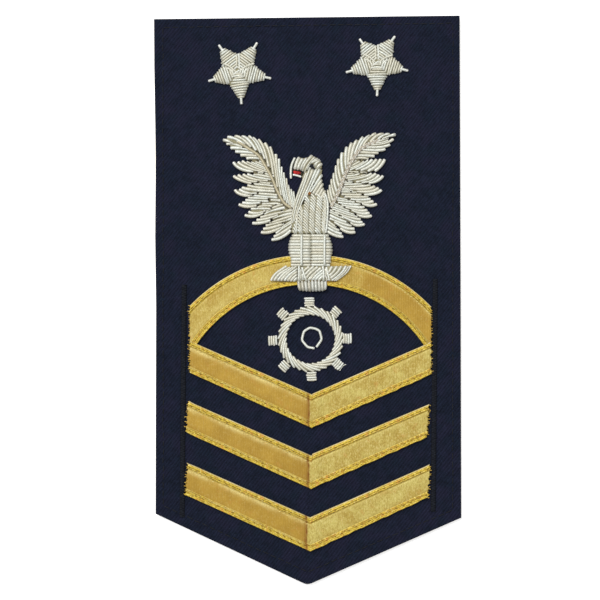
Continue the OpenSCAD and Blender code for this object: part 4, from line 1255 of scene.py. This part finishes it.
# Outline of the padding under each wing, along the rib and back through the forks between its feathers, in
# chart units
LEFT_PADDING = [
    [241.5, 142.5], [251.5, 148.5], [260.8, 155.5], [267.8, 166.5], [273.8, 177.5], [278.8, 189.8], [285, 201.5],
    [291.5, 206.5], [292.3, 226], [284, 221.5], [273, 218.6], [264.5, 211.5], [259.5, 204.5], [256, 194.4],
    [256, 183.5], [254.5, 172], [253, 160], [246, 149],
]  # fmt: skip
RIGHT_PADDING = [
    [378, 141], [370, 144.5], [360, 150.5], [352.5, 160.5], [347, 171], [342.5, 182], [338, 194], [332, 206],
    [328.5, 226.5], [335.5, 224.6], [345.5, 220.4], [352.5, 212.5], [358, 203.5], [360, 193.6], [362.5, 183],
    [367, 171.6], [362, 159.2], [372, 150],
]  # fmt: skip
# Strands of the leading edge, from the wing's tip to the body: tip, middle and root, in chart units
LEFT_COVERTS = [
    [223.3, 140, 227.5, 140.8, 232.5, 143.2], [227.4, 137, 235.8, 139, 244.2, 144.6],
    [234.7, 136, 242.3, 138.8, 250.3, 146.4], [241.6, 136, 248.6, 139.9, 255.6, 149.6],
    [248.4, 135.9, 254.9, 141.9, 260.6, 153.4], [252.8, 137, 259.2, 144.6, 264.4, 158],
    [258.4, 139, 264.3, 149.4, 268.4, 165.6], [264.7, 142.7, 270.2, 155.8, 273.3, 176],
    [270, 146.4, 274.2, 162.5, 277.2, 186], [275.8, 153.8, 277.6, 172.5, 281, 194.5],
    [278.9, 158.5, 280.4, 178.5, 284.4, 199.6], [281.6, 166.4, 282.9, 184.5, 286.9, 202.4],
    [283.7, 172.2, 285.6, 188.5, 289.2, 204.4], [286.3, 178, 288, 191.5, 291.2, 206],
    [288.5, 184.6, 290.2, 195.5, 292.9, 206.6], [291, 188.8, 292.5, 198, 294.2, 206],
    [293.4, 191, 294.2, 197, 294.9, 202],
]  # fmt: skip
RIGHT_COVERTS = [
    [395.5, 134.5, 389.5, 135.9, 383, 138.4], [389.6, 133.9, 383.8, 135, 378.3, 138.8],
    [383.6, 133.4, 376.1, 136.1, 370.7, 142], [376.1, 133.2, 368.5, 138.2, 363.1, 146],
    [369.6, 135, 363.1, 140.9, 358.8, 150], [363.1, 136.6, 358.3, 144.2, 354.6, 154.8],
    [357.2, 139.9, 353.4, 147.4, 350.8, 159.8], [351.8, 142.6, 349.1, 151.7, 348, 164.4],
    [346.8, 146.6, 345.4, 157.1, 346, 168.6], [342.3, 152.3, 341.4, 162.5, 343.5, 174.8],
    [338.6, 158.7, 338.3, 169, 341.2, 181], [336, 165.2, 336.2, 175.5, 339.2, 186.3],
    [333.8, 172.8, 334, 182, 337, 191.6], [331.5, 178.7, 332.1, 187.3, 335.1, 197],
    [329.7, 184.6, 330.6, 192.7, 333.1, 201.4], [327.8, 189.5, 328.9, 197, 331.2, 204.6],
]  # fmt: skip


def spread(lines, least=0.3, most=0.56):
    """Half of the room that each of some strands has beside it, along its length."""
    rooms = []
    for i, line in enumerate(lines):
        others = np.vstack([other[:, :2] for j, other in enumerate(lines) if j != i])
        gap = np.sqrt(((line[:, None, :2] - others[None]) ** 2).sum(2)).min(1)
        room = np.clip(gap * 0.52, least, most)
        padded = np.r_[room[0], room[0], room, room[-1], room[-1]]
        rooms.append(np.convolve(padded, np.ones(5) / 5, "valid"))
    return rooms


def make_wing(side, feathers, coverts, padding, dots, wing, seed):
    """All strands of one wing, each with the width that its neighbours leave it."""
    rng = random.Random(seed)
    lines, owners = [], []
    t = np.linspace(0, 1, STRAND_POINTS)
    for number, rows in enumerate(feathers, 1):
        for k, row in enumerate(rows):
            tip, middle, root = chart_points(row)
            flat = through(tip, middle, root, t)
            reach = np.linalg.norm(root - tip) / 14
            inner = float(np.linalg.norm(root - tip) < SHORT_STRAND) * (k < 2)
            w = (k + 0.75) / (len(rows) + 0.5)
            high = WING_T * mix(0.7, 1, ease(t * (0.6 + reach)))
            arch = mix(math.sin(math.pi * w) ** 0.5, 0.8, inner)
            z = BASE_Z + PURL_R + (high - 2 * PURL_R) * arch + 0.03 * ripple(t * 12, 7, seed + k)
            z = z - 0.12 * ease(1 - t / 0.1) - 0.1 * ease((t - 0.93) / 0.07)
            lines.append(np.c_[flat, z])
            owners.append((f"feather_{side}_{number}", 0.7))
    for row in coverts:
        tip, middle, root = chart_points(row)
        flat = through(tip, middle, root + unit(root - middle) * 0.35, t)
        rise = ease(t / 0.22) * (1 - 0.3 * ease((t - 0.8) / 0.2))
        z = BASE_Z + PURL_R + (WING_T - 2 * PURL_R) * rise + 0.03 * ripple(t * 9, 5, seed + row[0])
        lines.append(np.c_[flat, z])
        owners.append((f"covert_{side}", 0.9))
    forms = {}
    for one, two, owner, other in zip(lines, lines[1:], owners, owners[1:]):
        if owner == other:
            forms.setdefault(owner[0], Form()).web(one[4:-1], two[4:-1])
    for path, room, (name, whiten) in zip(lines, spread(lines), owners):
        form = forms.setdefault(name, Form())
        form.bed(path, room * 1.15)
        form.strand(path, PURL_R, room / PURL_R, rng.random(), whiten=whiten)
    for name, form in forms.items():
        bullion(name, form, FELT)
    under = Form()
    ring = np.array([chart(x, y) for x, y in padding])
    under.loft([level(ring, BASE_Z + h) for h in (0.0, 0.45)])
    under.loft([level(drawn_in(ring, 0.3 * wing), BASE_Z + h) for h in (0.4, 0.62)])
    make(f"wing_{side}_padding", under, [UNDER_FELT], "silver_bullion")
    # Dark specks of thread in the gaps: the dark cloth there and painted shade
    specks = Form()
    for x, y, length in dots:
        turn = math.radians(-wing * rng.uniform(0, 25))
        half = polar(turn, max(0.2, (length - 1.4) * STEP / 2 + 0.12))
        path = arched(chart(x, y), half, BASE_Z + WING_T, 0.4, -0.42, -0.24)
        specks.strand(path, 0.21, tone=rng.random(), sides=8, step=0.2)
    make(f"wing_{side}_gaps", specks, [GAP_THREAD], "dark_thread")


def make_rib(name, line, plaited):
    """The cord that covers the roots: one smooth strand on the left wing, three plaited ones on the right."""
    form = Form()
    s_all = np.linspace(0, RIB_END + 0.15, 150)
    flat = np.array([at(line, s) * STEP for s in s_all]) + [DESIGN_X, PERCH_Y]
    across = np.array([left_of(heading(line, s)) for s in s_all])
    z = BASE_Z + RIB_T - 0.48 - 0.35 * ease((0.5 - s_all) / 0.5) - 0.3 * ease((s_all - 6.8) / 0.3)
    if not plaited:
        form.strand(np.c_[flat, z], 0.48, step=0.4)
        make(name, form, [RIB_CORD], "silver_bullion", [name])
        return
    z = z + 0.1 - 0.6 * ease((1.5 - s_all) / 1.5)
    reach = lengths_along(flat)
    spots = np.linspace(0, reach[-1], 260)
    base, side = sampled(np.c_[flat, z], reach, spots), sampled(across, reach, spots)
    for ply in range(3):
        turn = spots / 1.9 * 2 * math.pi + ply * 2 * math.pi / 3
        path = base.copy()
        path[:, :2] += side * (np.sin(turn) * 0.42)[:, None]
        path[:, 2] += np.sin(2 * turn) * 0.18
        form.strand(path, 0.24, 1.1, (0.0, 1.0, 0.4)[ply], step=0.2, sides=8)
    make(name, form, [WARM_CORD], "silver_bullion", [name])


# Outlines of the padded forms, in eagle steps, clockwise
HEAD = [
    [-13, 108], [-11, 108.5], [-7.5, 107.5], [-3.5, 108], [2, 110.2], [5, 108.8], [8, 107.2], [10.3, 105],
    [12, 101.5], [11.8, 97], [4.6, 96.8], [4, 101], [0.3, 101.7], [-1.5, 96.8], [-6, 93.5], [-7.5, 96.2],
    [-16.5, 96.2], [-15.8, 101.5],
]  # fmt: skip
NECK = [
    [-5.6, 93.2], [-1.2, 96.2], [12.2, 96.2], [11.6, 90], [11.8, 85], [13, 81], [13.2, 77], [14.8, 75], [8, 72],
    [1, 70], [-5, 68.5], [-10, 59.5], [-13.2, 50.5], [-15.2, 40.5], [-15.7, 33], [-18.7, 33], [-18.3, 43],
    [-17.6, 51.5], [-15.8, 60], [-14, 69], [-12, 75.5], [-10, 80.5], [-8, 85.5], [-7.8, 89.5],
]  # fmt: skip
BREAST = [
    [-4.6, 67.9], [1.4, 69.4], [8.4, 71.4], [15.2, 74.3], [17, 70.5], [18.2, 64.5], [18.8, 58.5], [18.3, 50.5],
    [17.5, 40.5], [16.8, 31.6], [1, 31.3], [-15, 31.6], [-14.6, 40.1], [-12.6, 50.1], [-9.4, 59.1],
]  # fmt: skip
BODY = NECK[:7] + BREAST[3:12] + NECK[15:]
LEFT_THIGH = [
    [0.7, 30.8], [0.7, 0.3], [-19, 0.3], [-19, 6.5], [-20, 10.5], [-21, 15.5], [-20.7, 22.5], [-19, 27.5],
    [-17, 30.8],
]  # fmt: skip
RIGHT_THIGH = [
    [1.3, 30.8], [17.8, 30.8], [20, 26.5], [21.6, 20.5], [21.8, 15.5], [21, 8.5], [20.2, 0.3], [1.3, 0.3],
]  # fmt: skip
LEFT_PERCH = [[-39.5, -15.2], [-35, -9.5], [-30, -4.5], [-25, -1], [-12.6, -0.3], [-12.4, -15.5], [-25, -15.8]]
CENTRE_PERCH = [[-12, -0.3], [15.6, -0.3], [17.8, -14.7], [-12, -14.7]]
RIGHT_PERCH = [[16.2, -0.3], [41.3, -0.1], [37, -5.5], [32, -10.5], [27, -15], [18.4, -15.5]]
TAIL = [
    [-12, -15.4], [16.5, -15.4], [17, -20.5], [15.5, -24.5], [12, -25.1], [-8, -25.1], [-11, -23.5],
    [-12.5, -19.5],
]  # fmt: skip
# Strands of the head, each through these points, in chart units
BEAK_STRAND = [[295, 157.5], [293, 161.5], [291.4, 166], [290.8, 172], [291, 178.5]]
LOWER_BEAK_STRAND = [[292.8, 174.4], [297, 175.2], [301.4, 176.7]]
HEAD_STRANDS = [
    [[299, 157.6], [296.6, 162.3], [294.8, 168.7]],
    [[302.4, 158.9], [299.6, 163.9], [297.6, 169.5]],
    [[306.4, 158.3], [303, 163.5], [300.4, 169.9]],
    [[312, 155.5], [308.4, 159.5], [304.6, 165], [302.4, 171]],
    [[314.6, 157.3], [310.6, 161.5], [307, 166.7], [304.4, 172.3]],
    [[317.6, 158.5], [313, 161.1], [309.2, 165], [306.8, 169.6]],
    [[320, 160.9], [316.4, 162.9], [314.2, 166.8], [313.6, 168.6]],
    [[321.6, 163.9], [318.4, 166], [316.6, 169.2]],
    [[319.2, 159.6], [315.6, 160.9], [311.9, 162.6]],
]
# Threads of the eye: x, lower y and upper y; then of the tongue and of the mouth round it: both ends
EYE_ROWS = [
    [310.7, 167.2, 164.9], [311.5, 167.9, 164.4], [312.3, 168.2, 164.8], [313.2, 168.7, 166.4],
    [314.1, 169.2, 168.2],
]  # fmt: skip
TONGUE_ROWS = [
    [293.4, 170.9, 300.6, 172.4], [293.4, 171.9, 300.9, 173.5], [293.6, 172.7, 298.5, 173.9],
    [295, 171.6, 299.5, 172.6],
]  # fmt: skip
MOUTH_ROWS = [[293, 169.9, 300.6, 170.7], [300.6, 171.9, 303, 173.6], [300.4, 173.2, 302.6, 174.9]]
# Strands of the neck, from the throat to the nape, in chart units
NECK_STRANDS = [
    [[306.2, 173], [301.7, 184.3], [299.4, 190.5], [297, 197], [294.8, 204], [293, 211], [291.6, 219],
     [291.2, 226]],
    [[310.2, 167.2], [304.2, 184.2], [301.8, 190.5], [299.2, 197], [296.8, 204], [294.9, 211], [293.6, 217],
     [292.8, 223]],
    [[312.8, 169.4], [306.9, 184.2], [304.2, 190.8], [301.5, 197.3], [299, 204], [297, 210.5], [295.4, 217],
     [294.6, 221]],
    [[316.2, 169.5], [309.6, 184.4], [306.7, 191], [303.9, 197.5], [301.2, 203.8], [298.8, 210],
     [297.4, 214.5]],
    [[319.6, 169.2], [315.6, 177.3], [312.3, 184.4], [309.2, 190.6], [306.6, 196]],
    [[321.8, 174.6], [317.4, 181.5], [313.2, 188], [309.6, 193.4]],
    [[321.5, 180], [317.8, 186], [312.9, 193.6]],
    [[322.6, 183.8], [319.4, 189], [315.4, 195.4]],
    [[323, 188.2], [321.2, 191.6], [318, 197.2]],
    [[324.8, 190.8], [323.4, 193.8], [321.2, 198.4]],
]  # fmt: skip
# Borders between the columns of the breast, from its left side, in chart units
BREAST_BORDERS = [
    [[296.6, 215], [294.4, 222], [292.6, 229], [292.4, 234]],
    [[299.8, 207], [298, 216], [297.4, 224], [297.4, 234]],
    [[305, 196], [303.6, 206], [303, 215], [302.8, 234]],
    [[310.8, 192], [309.8, 204], [309, 214], [308.5, 234]],
    [[317.5, 190], [316, 205], [315.1, 214], [314.5, 234]],
    [[323.5, 192], [322.4, 207], [321.4, 215], [321, 234]],
    [[326.2, 197], [326.9, 207], [326.4, 216], [325, 234]],
]
# Strands of each column: where the first starts, how far each drops, and how far apart they are
BREAST_COLUMNS = [
    [214.5, 7.5, 3.2], [205.5, 7, 3], [196.2, 6.2, 2.75], [194, 6.2, 2.75], [194.6, 6.2, 2.75], [196, 9, 3.2],
]  # fmt: skip
BREAST_FLANK = [[324.6, 193.4], [327, 199.5], [327.7, 208], [327.3, 216], [326.8, 224], [325.6, 232.8]]
# The brown spot (length 3) and the slits in the strands: x, y and length
BREAST_MARKS = [[309.3, 193.6, 3], [303.4, 202, 4.2], [313.6, 184, 2], [311.1, 187.3, 2]]


def outline_mm(outline):
    return np.array([eagle(x, y) for x, y in outline])


def pad_height(flat, outline, high, soft):
    """Height of a padded form over its outline."""
    depth = inside_depth(flat, outline)
    share = np.clip(depth / (soft * STRAND_D), 0, 1)
    return high * np.interp(share, [0, 0.3, 0.65, 1], [0.55, 0.82, 0.95, 1])


def ground(flat):
    """Height of what a form over the rocker lies on: the lace, or the cloth beside it."""
    radius = np.hypot(flat[:, 0] - DESIGN_X, flat[:, 1] - ROCKER_Y)
    on_lace = ease((ROCKER_R + 0.3 - radius) / 0.5) * ease((radius - ROCKER_R + LACE_W + 0.3) / 0.5)
    return mix(BASE_Z, OVER_LACE_Z, on_lace)


def laid(
    form, rows, outline, low, high, soft, rng, *,
    radius=PURL_R, least=0.3, most=0.5, tone=None, whiten=0.6, ends=0.12,
):  # fmt: skip
    """Strands laid side by side over a padded form, each through a few points in chart units. least and most
    limit their half width, and ends is how far they dip at both ends."""
    flats = [chart_curve(row, max(14, 7 * len(row))) for row in rows]
    rooms = spread(flats, least, most) if len(flats) > 1 else [np.full(len(flats[0]), radius)]
    for flat, room in zip(flats, rooms):
        z = low + pad_height(flat, outline, high, soft) - radius
        z = np.maximum(z, ground(flat) + radius * 0.8)
        t = np.linspace(0, 1, len(flat))
        z -= ends * (ease(1 - t / 0.12) + ease(1 - (1 - t) / 0.12))
        form.strand(np.c_[flat, z], radius, room / radius, rng.random() if tone is None else tone, whiten=whiten)


def pad_form(form, outline, low, high, soft, drop=0.55):
    """The padding under the strands of a form."""
    points = outline_mm(outline)
    rings = []
    for share, rise in ((0.06, 0), (0.06, 0.45), (0.35, 0.78), (0.75, 0.95), (1.1, 1)):
        rings.append(level(drawn_in(points, share * soft * STRAND_D), low + rise * max(0.2, high - drop)))
    form.loft(rings, 1)


def built_up(shape, rows, low, high, soft, rng, room=1.0, drop=0.55, **style):
    """A padded form in that outline, with strands laid side by side over it."""
    form = Form()
    pad_form(form, shape, low, high, soft, drop)
    laid(form, rows, outline_mm(shape), low, high, room, rng, **style)
    return form


def make_head():
    rng = random.Random(SEEDS["head"])
    beak, eye, tongue, dark, lower = Form(), Form(), Form(), Form(), Form()
    flat = chart_curve(BEAK_STRAND, 26)
    z = BASE_Z + np.interp(np.linspace(0, 1, 26), [0, 0.3, 1], [0.6, 0.75, 0.42])
    beak.bed(np.c_[flat, z], 0.36)
    beak.strand(np.c_[flat, z], 0.44, tone=0.8, whiten=0.5)
    bullion("beak_upper", beak, FELT)
    bullion("head", built_up(HEAD, HEAD_STRANDS, BASE_Z, HEAD_T, 0.5, rng, most=0.54, whiten=0.9), FELT)
    for x, low, high in EYE_ROWS:
        eye.strand(bowed(chart(x, low), chart(x + 0.3, high), BASE_Z + 1.62, 0.22, 5), 0.23, sides=8, step=0.3)
    make("eye", eye, [DARK_THREAD], "dark_thread")
    for k, row in enumerate(TONGUE_ROWS):
        path = bowed(*chart_points(row), BASE_Z + 0.4 + 0.08 * k, 0.15, 7)
        tongue.strand(path, 0.27, tone=0.3 + 0.15 * k, sides=9)
    make("tongue", tongue, [RED_THREAD], "red_thread", ["tongue"])
    for row in MOUTH_ROWS:
        dark.strand(bowed(*chart_points(row), BASE_Z + 0.55, 0.1, 3), 0.22, sides=8)
    make("mouth_thread", dark, [GAP_THREAD], "dark_thread")
    flat = chart_curve(LOWER_BEAK_STRAND, 14)
    lower.strand(level(flat, BASE_Z + 0.42), 0.4, tone=0.9, whiten=1.2)
    bullion("beak_lower", lower)


def breast_rows(left, right, first, drop, pitch):
    """Short strands across one column of the breast, each falling from its left border to its right one."""
    left, right = np.array(left), np.array(right)
    rows, y = [], first
    while y < BREAST_FOOT - 1.1:
        foot = min(y + drop, BREAST_FOOT)
        share = (foot - y) / drop
        x0 = np.interp(y, left[:, 1], left[:, 0]) + 0.45
        x1 = mix(x0, np.interp(foot, right[:, 1], right[:, 0]) - 0.35, share)
        if share > 0.3:
            rows.append([[x0, y], [mix(x0, x1, 0.5) + 0.25, mix(y, foot, 0.5) - 0.35], [x1, foot]])
        y += pitch
    return rows


def make_body(rng):
    neck = Form()
    outline = outline_mm(BODY)
    pad_form(neck, NECK, BASE_Z, HEAD_T, 0.5)
    laid(neck, NECK_STRANDS, outline, BASE_Z, HEAD_T + 0.2, 0.9, rng, radius=0.46, most=0.6, whiten=0.8)
    bullion("neck", neck, FELT)

    breast = Form()
    style = {"radius": 0.34, "least": 0.28, "most": 0.38, "whiten": 0.2, "ends": 0.13}
    pad_form(breast, BREAST, BASE_Z, BREAST_T, 1.2, 0.45)
    pad_form(breast, BODY, BASE_Z, HEAD_T, 0.8, 0.5)
    for left, right, column in zip(BREAST_BORDERS, BREAST_BORDERS[1:], BREAST_COLUMNS):
        rows = breast_rows(left, right, *column)
        laid(breast, rows, outline, BASE_Z, BREAST_T, 1.1, rng, **style)
    laid(breast, [BREAST_FLANK], outline, BASE_Z, BREAST_T, 0.9, rng, tone=0.95, whiten=0.5)
    knots, spot = Form(), Form()
    for x, y, length in BREAST_MARKS:
        a, b = chart(x - 0.3 * length, y + 0.4 * length), chart(x + 0.3 * length, y - 0.4 * length)
        path = [[*mix(a, b, t), BASE_Z + HEAD_T + 0.1 - 0.3 * abs(t - 0.5)] for t in (0, 0.25, 0.5, 0.75, 1)]
        brown = length == 3
        (spot if brown else knots).strand(path, 0.52 if brown else 0.07 * length, sides=8, step=0.2)
    make("body_spot", spot, [BROWN_THREAD], "dark_thread")
    make("body_slits", knots, [GAP_THREAD], "dark_thread")
    bullion("breast", breast, FELT)


def make_legs(rng):
    """The thighs, in rows across, and the single strand down each of them."""
    thighs = (("thigh_left", LEFT_THIGH, 310.6, -1), ("thigh_right", RIGHT_THIGH, 311.4, 1))
    style = {"room": 0.8, "radius": 0.45, "most": 0.53, "whiten": 0.6, "ends": 0.08}
    for name, shape, edge_x, side in thighs:
        flank = sorted([CHART_Y - y, CHART_X + x] for x, y in shape if abs(x) > 5)
        rows = []
        for k in range(THIGH_ROWS):
            y = THIGH_TOP + k * THIGH_PITCH
            out_x = np.interp(y, *zip(*flank)) + side * rng.uniform(-0.4, 0.6)
            sway = rng.uniform(-0.2, 0.2)
            rows.append([[out_x, y + sway], [(out_x + edge_x) / 2, y], [edge_x, y - sway]])
        form = built_up(shape, rows, BASE_Z, THIGH_T, 1.6, rng, **style)
        bullion(name, form, FELT)
    for name, x in (("leg_cord_left", 301.4), ("leg_cord_right", 324.4)):
        form = Form()
        flat = chart_curve([[x + 0.2, 234.9], [x - 0.1, 249], [x, 265.1]], 20)
        z = np.interp(np.linspace(0, 1, 20), [0, 0.08, 0.92, 1], [4.7, 5.4, 5.4, 4.7])
        form.strand(np.c_[flat, z], 0.4, tone=0.85, whiten=0.4)
        bullion(name, form)


# Strands of the perch and tail, in chart units
PERCH_LEFT_STRANDS = [
    [[271, 280.4], [275.5, 273.6], [286.6, 265.8]], [[274.4, 280], [279.6, 273.6], [290, 266.9]],
    [[277.8, 280.1], [283.4, 273.7], [293.4, 266.5]], [[281, 280.2], [286.6, 273.8], [296.4, 266]],
    [[284.4, 280.3], [289.4, 274.4], [297.2, 268.6]], [[287.6, 280.4], [292.2, 275], [297.3, 271.2]],
    [[290.6, 280.6], [294.2, 276.6], [297.4, 274]], [[293.6, 280.8], [295.8, 278.6], [297.5, 277]],
]  # fmt: skip
PERCH_RIGHT_STRANDS = [
    [[350.6, 265.6], [346, 272.6], [335.5, 280.2]], [[345.8, 265.8], [341.4, 272.4], [331.8, 280.1]],
    [[341.2, 266], [337.2, 272.2], [330.5, 277.8]], [[336.6, 266.2], [333.6, 271], [329.6, 275.2]],
    [[331.8, 266.4], [330.2, 269.6], [328.4, 272.2]], [[348.4, 266.2], [343.8, 272.5], [334.2, 280.3]],
]  # fmt: skip
PERCH_CENTRE_STRANDS = [
    [[302.6, 272.4], [305.6, 269], [309, 266.6]], [[303.6, 276], [308.2, 270.8], [313.4, 266.4]],
    [[304.6, 279.4], [310.6, 272.4], [317.6, 266.6]], [[308, 280], [313.6, 273.8], [320.8, 267.6]],
    [[311.4, 280], [316.4, 274.8], [322.4, 269.8]], [[314.8, 280.1], [318.6, 276], [323, 272.4]],
    [[318.2, 280.2], [320.8, 277.4], [323.4, 275.2]], [[325.4, 277], [326, 272], [325.4, 268]],
    [[300.4, 280], [300.9, 275], [300.8, 269]], [[303, 279.6], [302.9, 276.6], [302.2, 273.6]],
    [[326.8, 280], [326.3, 278], [325.9, 276]],
]  # fmt: skip
PERCH_POSTS = [
    [[298.9, 265.9], [299.1, 272], [298.8, 280]],
    [[302, 267], [303.8, 273.6], [306.2, 280.4]],
    [[322.8, 266.2], [323.5, 273], [323.4, 280.2]],
    [[326.2, 266.8], [327.8, 273.8], [329.2, 280.2]],
]
PERCH_TAN = [[316.2, 271], [313.2, 275], [310.4, 278.8]]
PERCHES = [
    ("perch_left", LEFT_PERCH, PERCH_LEFT_STRANDS),
    ("perch_right", RIGHT_PERCH, PERCH_RIGHT_STRANDS),
    ("perch_centre", CENTRE_PERCH, PERCH_CENTRE_STRANDS),
]
TAIL_STRANDS = [
    [[298.7, 280.4], [298.9, 285.2], [300.2, 289.6]], [[302.1, 281], [302.5, 285.5], [303.3, 290]],
    [[305.5, 281], [305.9, 285.6], [306.5, 290.2]], [[308.9, 281], [309.2, 285.6], [309.8, 290.3]],
    [[312.3, 281], [312.6, 285.6], [313, 290.3]], [[315.6, 281], [315.9, 285.6], [316.2, 290.2]],
    [[318.8, 281], [319.2, 285.6], [319.4, 290.1]], [[322, 281], [322.3, 285.6], [322.4, 289.9]],
    [[325.2, 281], [325.4, 285], [325, 288.9]],
]  # fmt: skip


def make_perch():
    rng = random.Random(SEEDS["perch"])
    low = OVER_LACE_Z
    strand_style = {"radius": 0.36, "most": 0.46, "whiten": 0.9, "ends": 0.1}
    post_style = {"radius": 0.42, "most": 0.42, "tone": 0.8, "ends": 0.05}
    for name, shape, rows in PERCHES:
        form = built_up(shape, rows, low, PERCH_T, 1.0, rng, drop=0.5, **strand_style)
        if name == "perch_centre":
            outline = outline_mm(shape)
            laid(form, PERCH_POSTS, outline, low, PERCH_T + 0.5, 0.3, rng, **post_style)
            laid(form, [PERCH_TAN], outline, low, PERCH_T + 0.25, 0.3, rng, radius=0.36, tone=0.0)
        bullion(name, form, FELT)


def make_tail():
    style = {"radius": 0.47, "most": 0.56, "whiten": 0.6, "ends": 0.25}
    form = built_up(TAIL, TAIL_STRANDS, BASE_Z, TAIL_T, 1.0, random.Random(SEEDS["tail"]), **style)
    make("tail", form, [TAIL_PURL, FELT], "silver_bullion", ["tail"])


def make_eagle():
    make_wing("left", LEFT_STRANDS, LEFT_COVERTS, LEFT_PADDING, LEFT_DOTS, -1, SEEDS["left_wing"])
    make_wing("right", RIGHT_STRANDS, RIGHT_COVERTS, RIGHT_PADDING, RIGHT_DOTS, 1, SEEDS["right_wing"])
    make_rib("rib_left", LEFT_ROOT, False)
    make_rib("rib_right", RIGHT_ROOT, True)
    make_head()
    rng = random.Random(SEEDS["body"])
    make_body(rng)
    make_legs(rng)
    make_perch()
    make_tail()


# ---------------------------------------------------------------- stage


def make_stage():
    floor_mesh = bpy.data.meshes.new("floor")
    half = 1.2
    corners = [(-half, -half, 0), (half, -half, 0), (half, half, 0), (-half, half, 0)]
    floor_mesh.from_pydata(corners, [], [(0, 1, 2, 3)])
    floor = placed("floor", floor_mesh)
    floor.location.z = -0.0002
    s = Shader("pale_floor", Roughness=0.9, Specular_IOR_Level=0.1)
    s.surface.inputs["Base Color"].default_value = (0.95, 0.95, 0.95, 1)
    s.surface.inputs["Emission Color"].default_value = (1, 1, 1, 1)
    s.surface.inputs["Emission Strength"].default_value = 0.42
    floor_mesh.materials.append(s.material)

    camera_data = bpy.data.cameras.new("camera")
    camera_data.lens, camera_data.sensor_width = 100, 36
    camera = placed("camera", camera_data)
    camera.location = (-2.6 * MM, -0.05 * MM, 0.5667 + FACE_Z * MM)
    bpy.context.scene.camera = camera

    lights = (("key", (-0.84, 1.26, 2.25), 1.5, 50.0), ("top", (0.0, 0.0, 3.3), 2.7, 23.4))
    for name, place, size, power in lights:
        data = bpy.data.lights.new(name, "AREA")
        data.shape, data.size, data.energy = "DISK", size, power
        light = placed(name, data)
        light.location = place
        aim = -np.array(place)
        yaw, tilt = math.atan2(aim[1], aim[0]), math.acos(-aim[2] / np.linalg.norm(aim))
        light.rotation_euler = (0, -tilt, yaw) if tilt else (0, 0, 0)

    world = bpy.data.worlds.new("studio")
    bpy.context.scene.world = world
    world.use_nodes = True
    background = world.node_tree.nodes["Background"].inputs
    background["Color"].default_value, background["Strength"].default_value = (1, 1, 1, 1), 0.4
    bpy.context.scene.view_settings.view_transform = "Standard"


make_stage()
make_cloth()
make_seams()
for number, (chevron, sizes) in enumerate(CHEVRONS.items()):
    make_chevron(chevron, number, sizes)
make_rocker()
make("lace_stitches", LACE_STITCHES, [OLIVE_THREAD], "gold_lace")
make("lace_floats", LACE_DASHES, [PALE_GOLD], "gold_lace")
make("lace_fray", FRAY, [GOLD_FIBRE], "gold_lace")
make_gear()
for number, (star, (middle, star_arms)) in enumerate(STARS.items()):
    make_star(star, middle, star_arms, SEEDS["stars"] + number)
make_eagle()
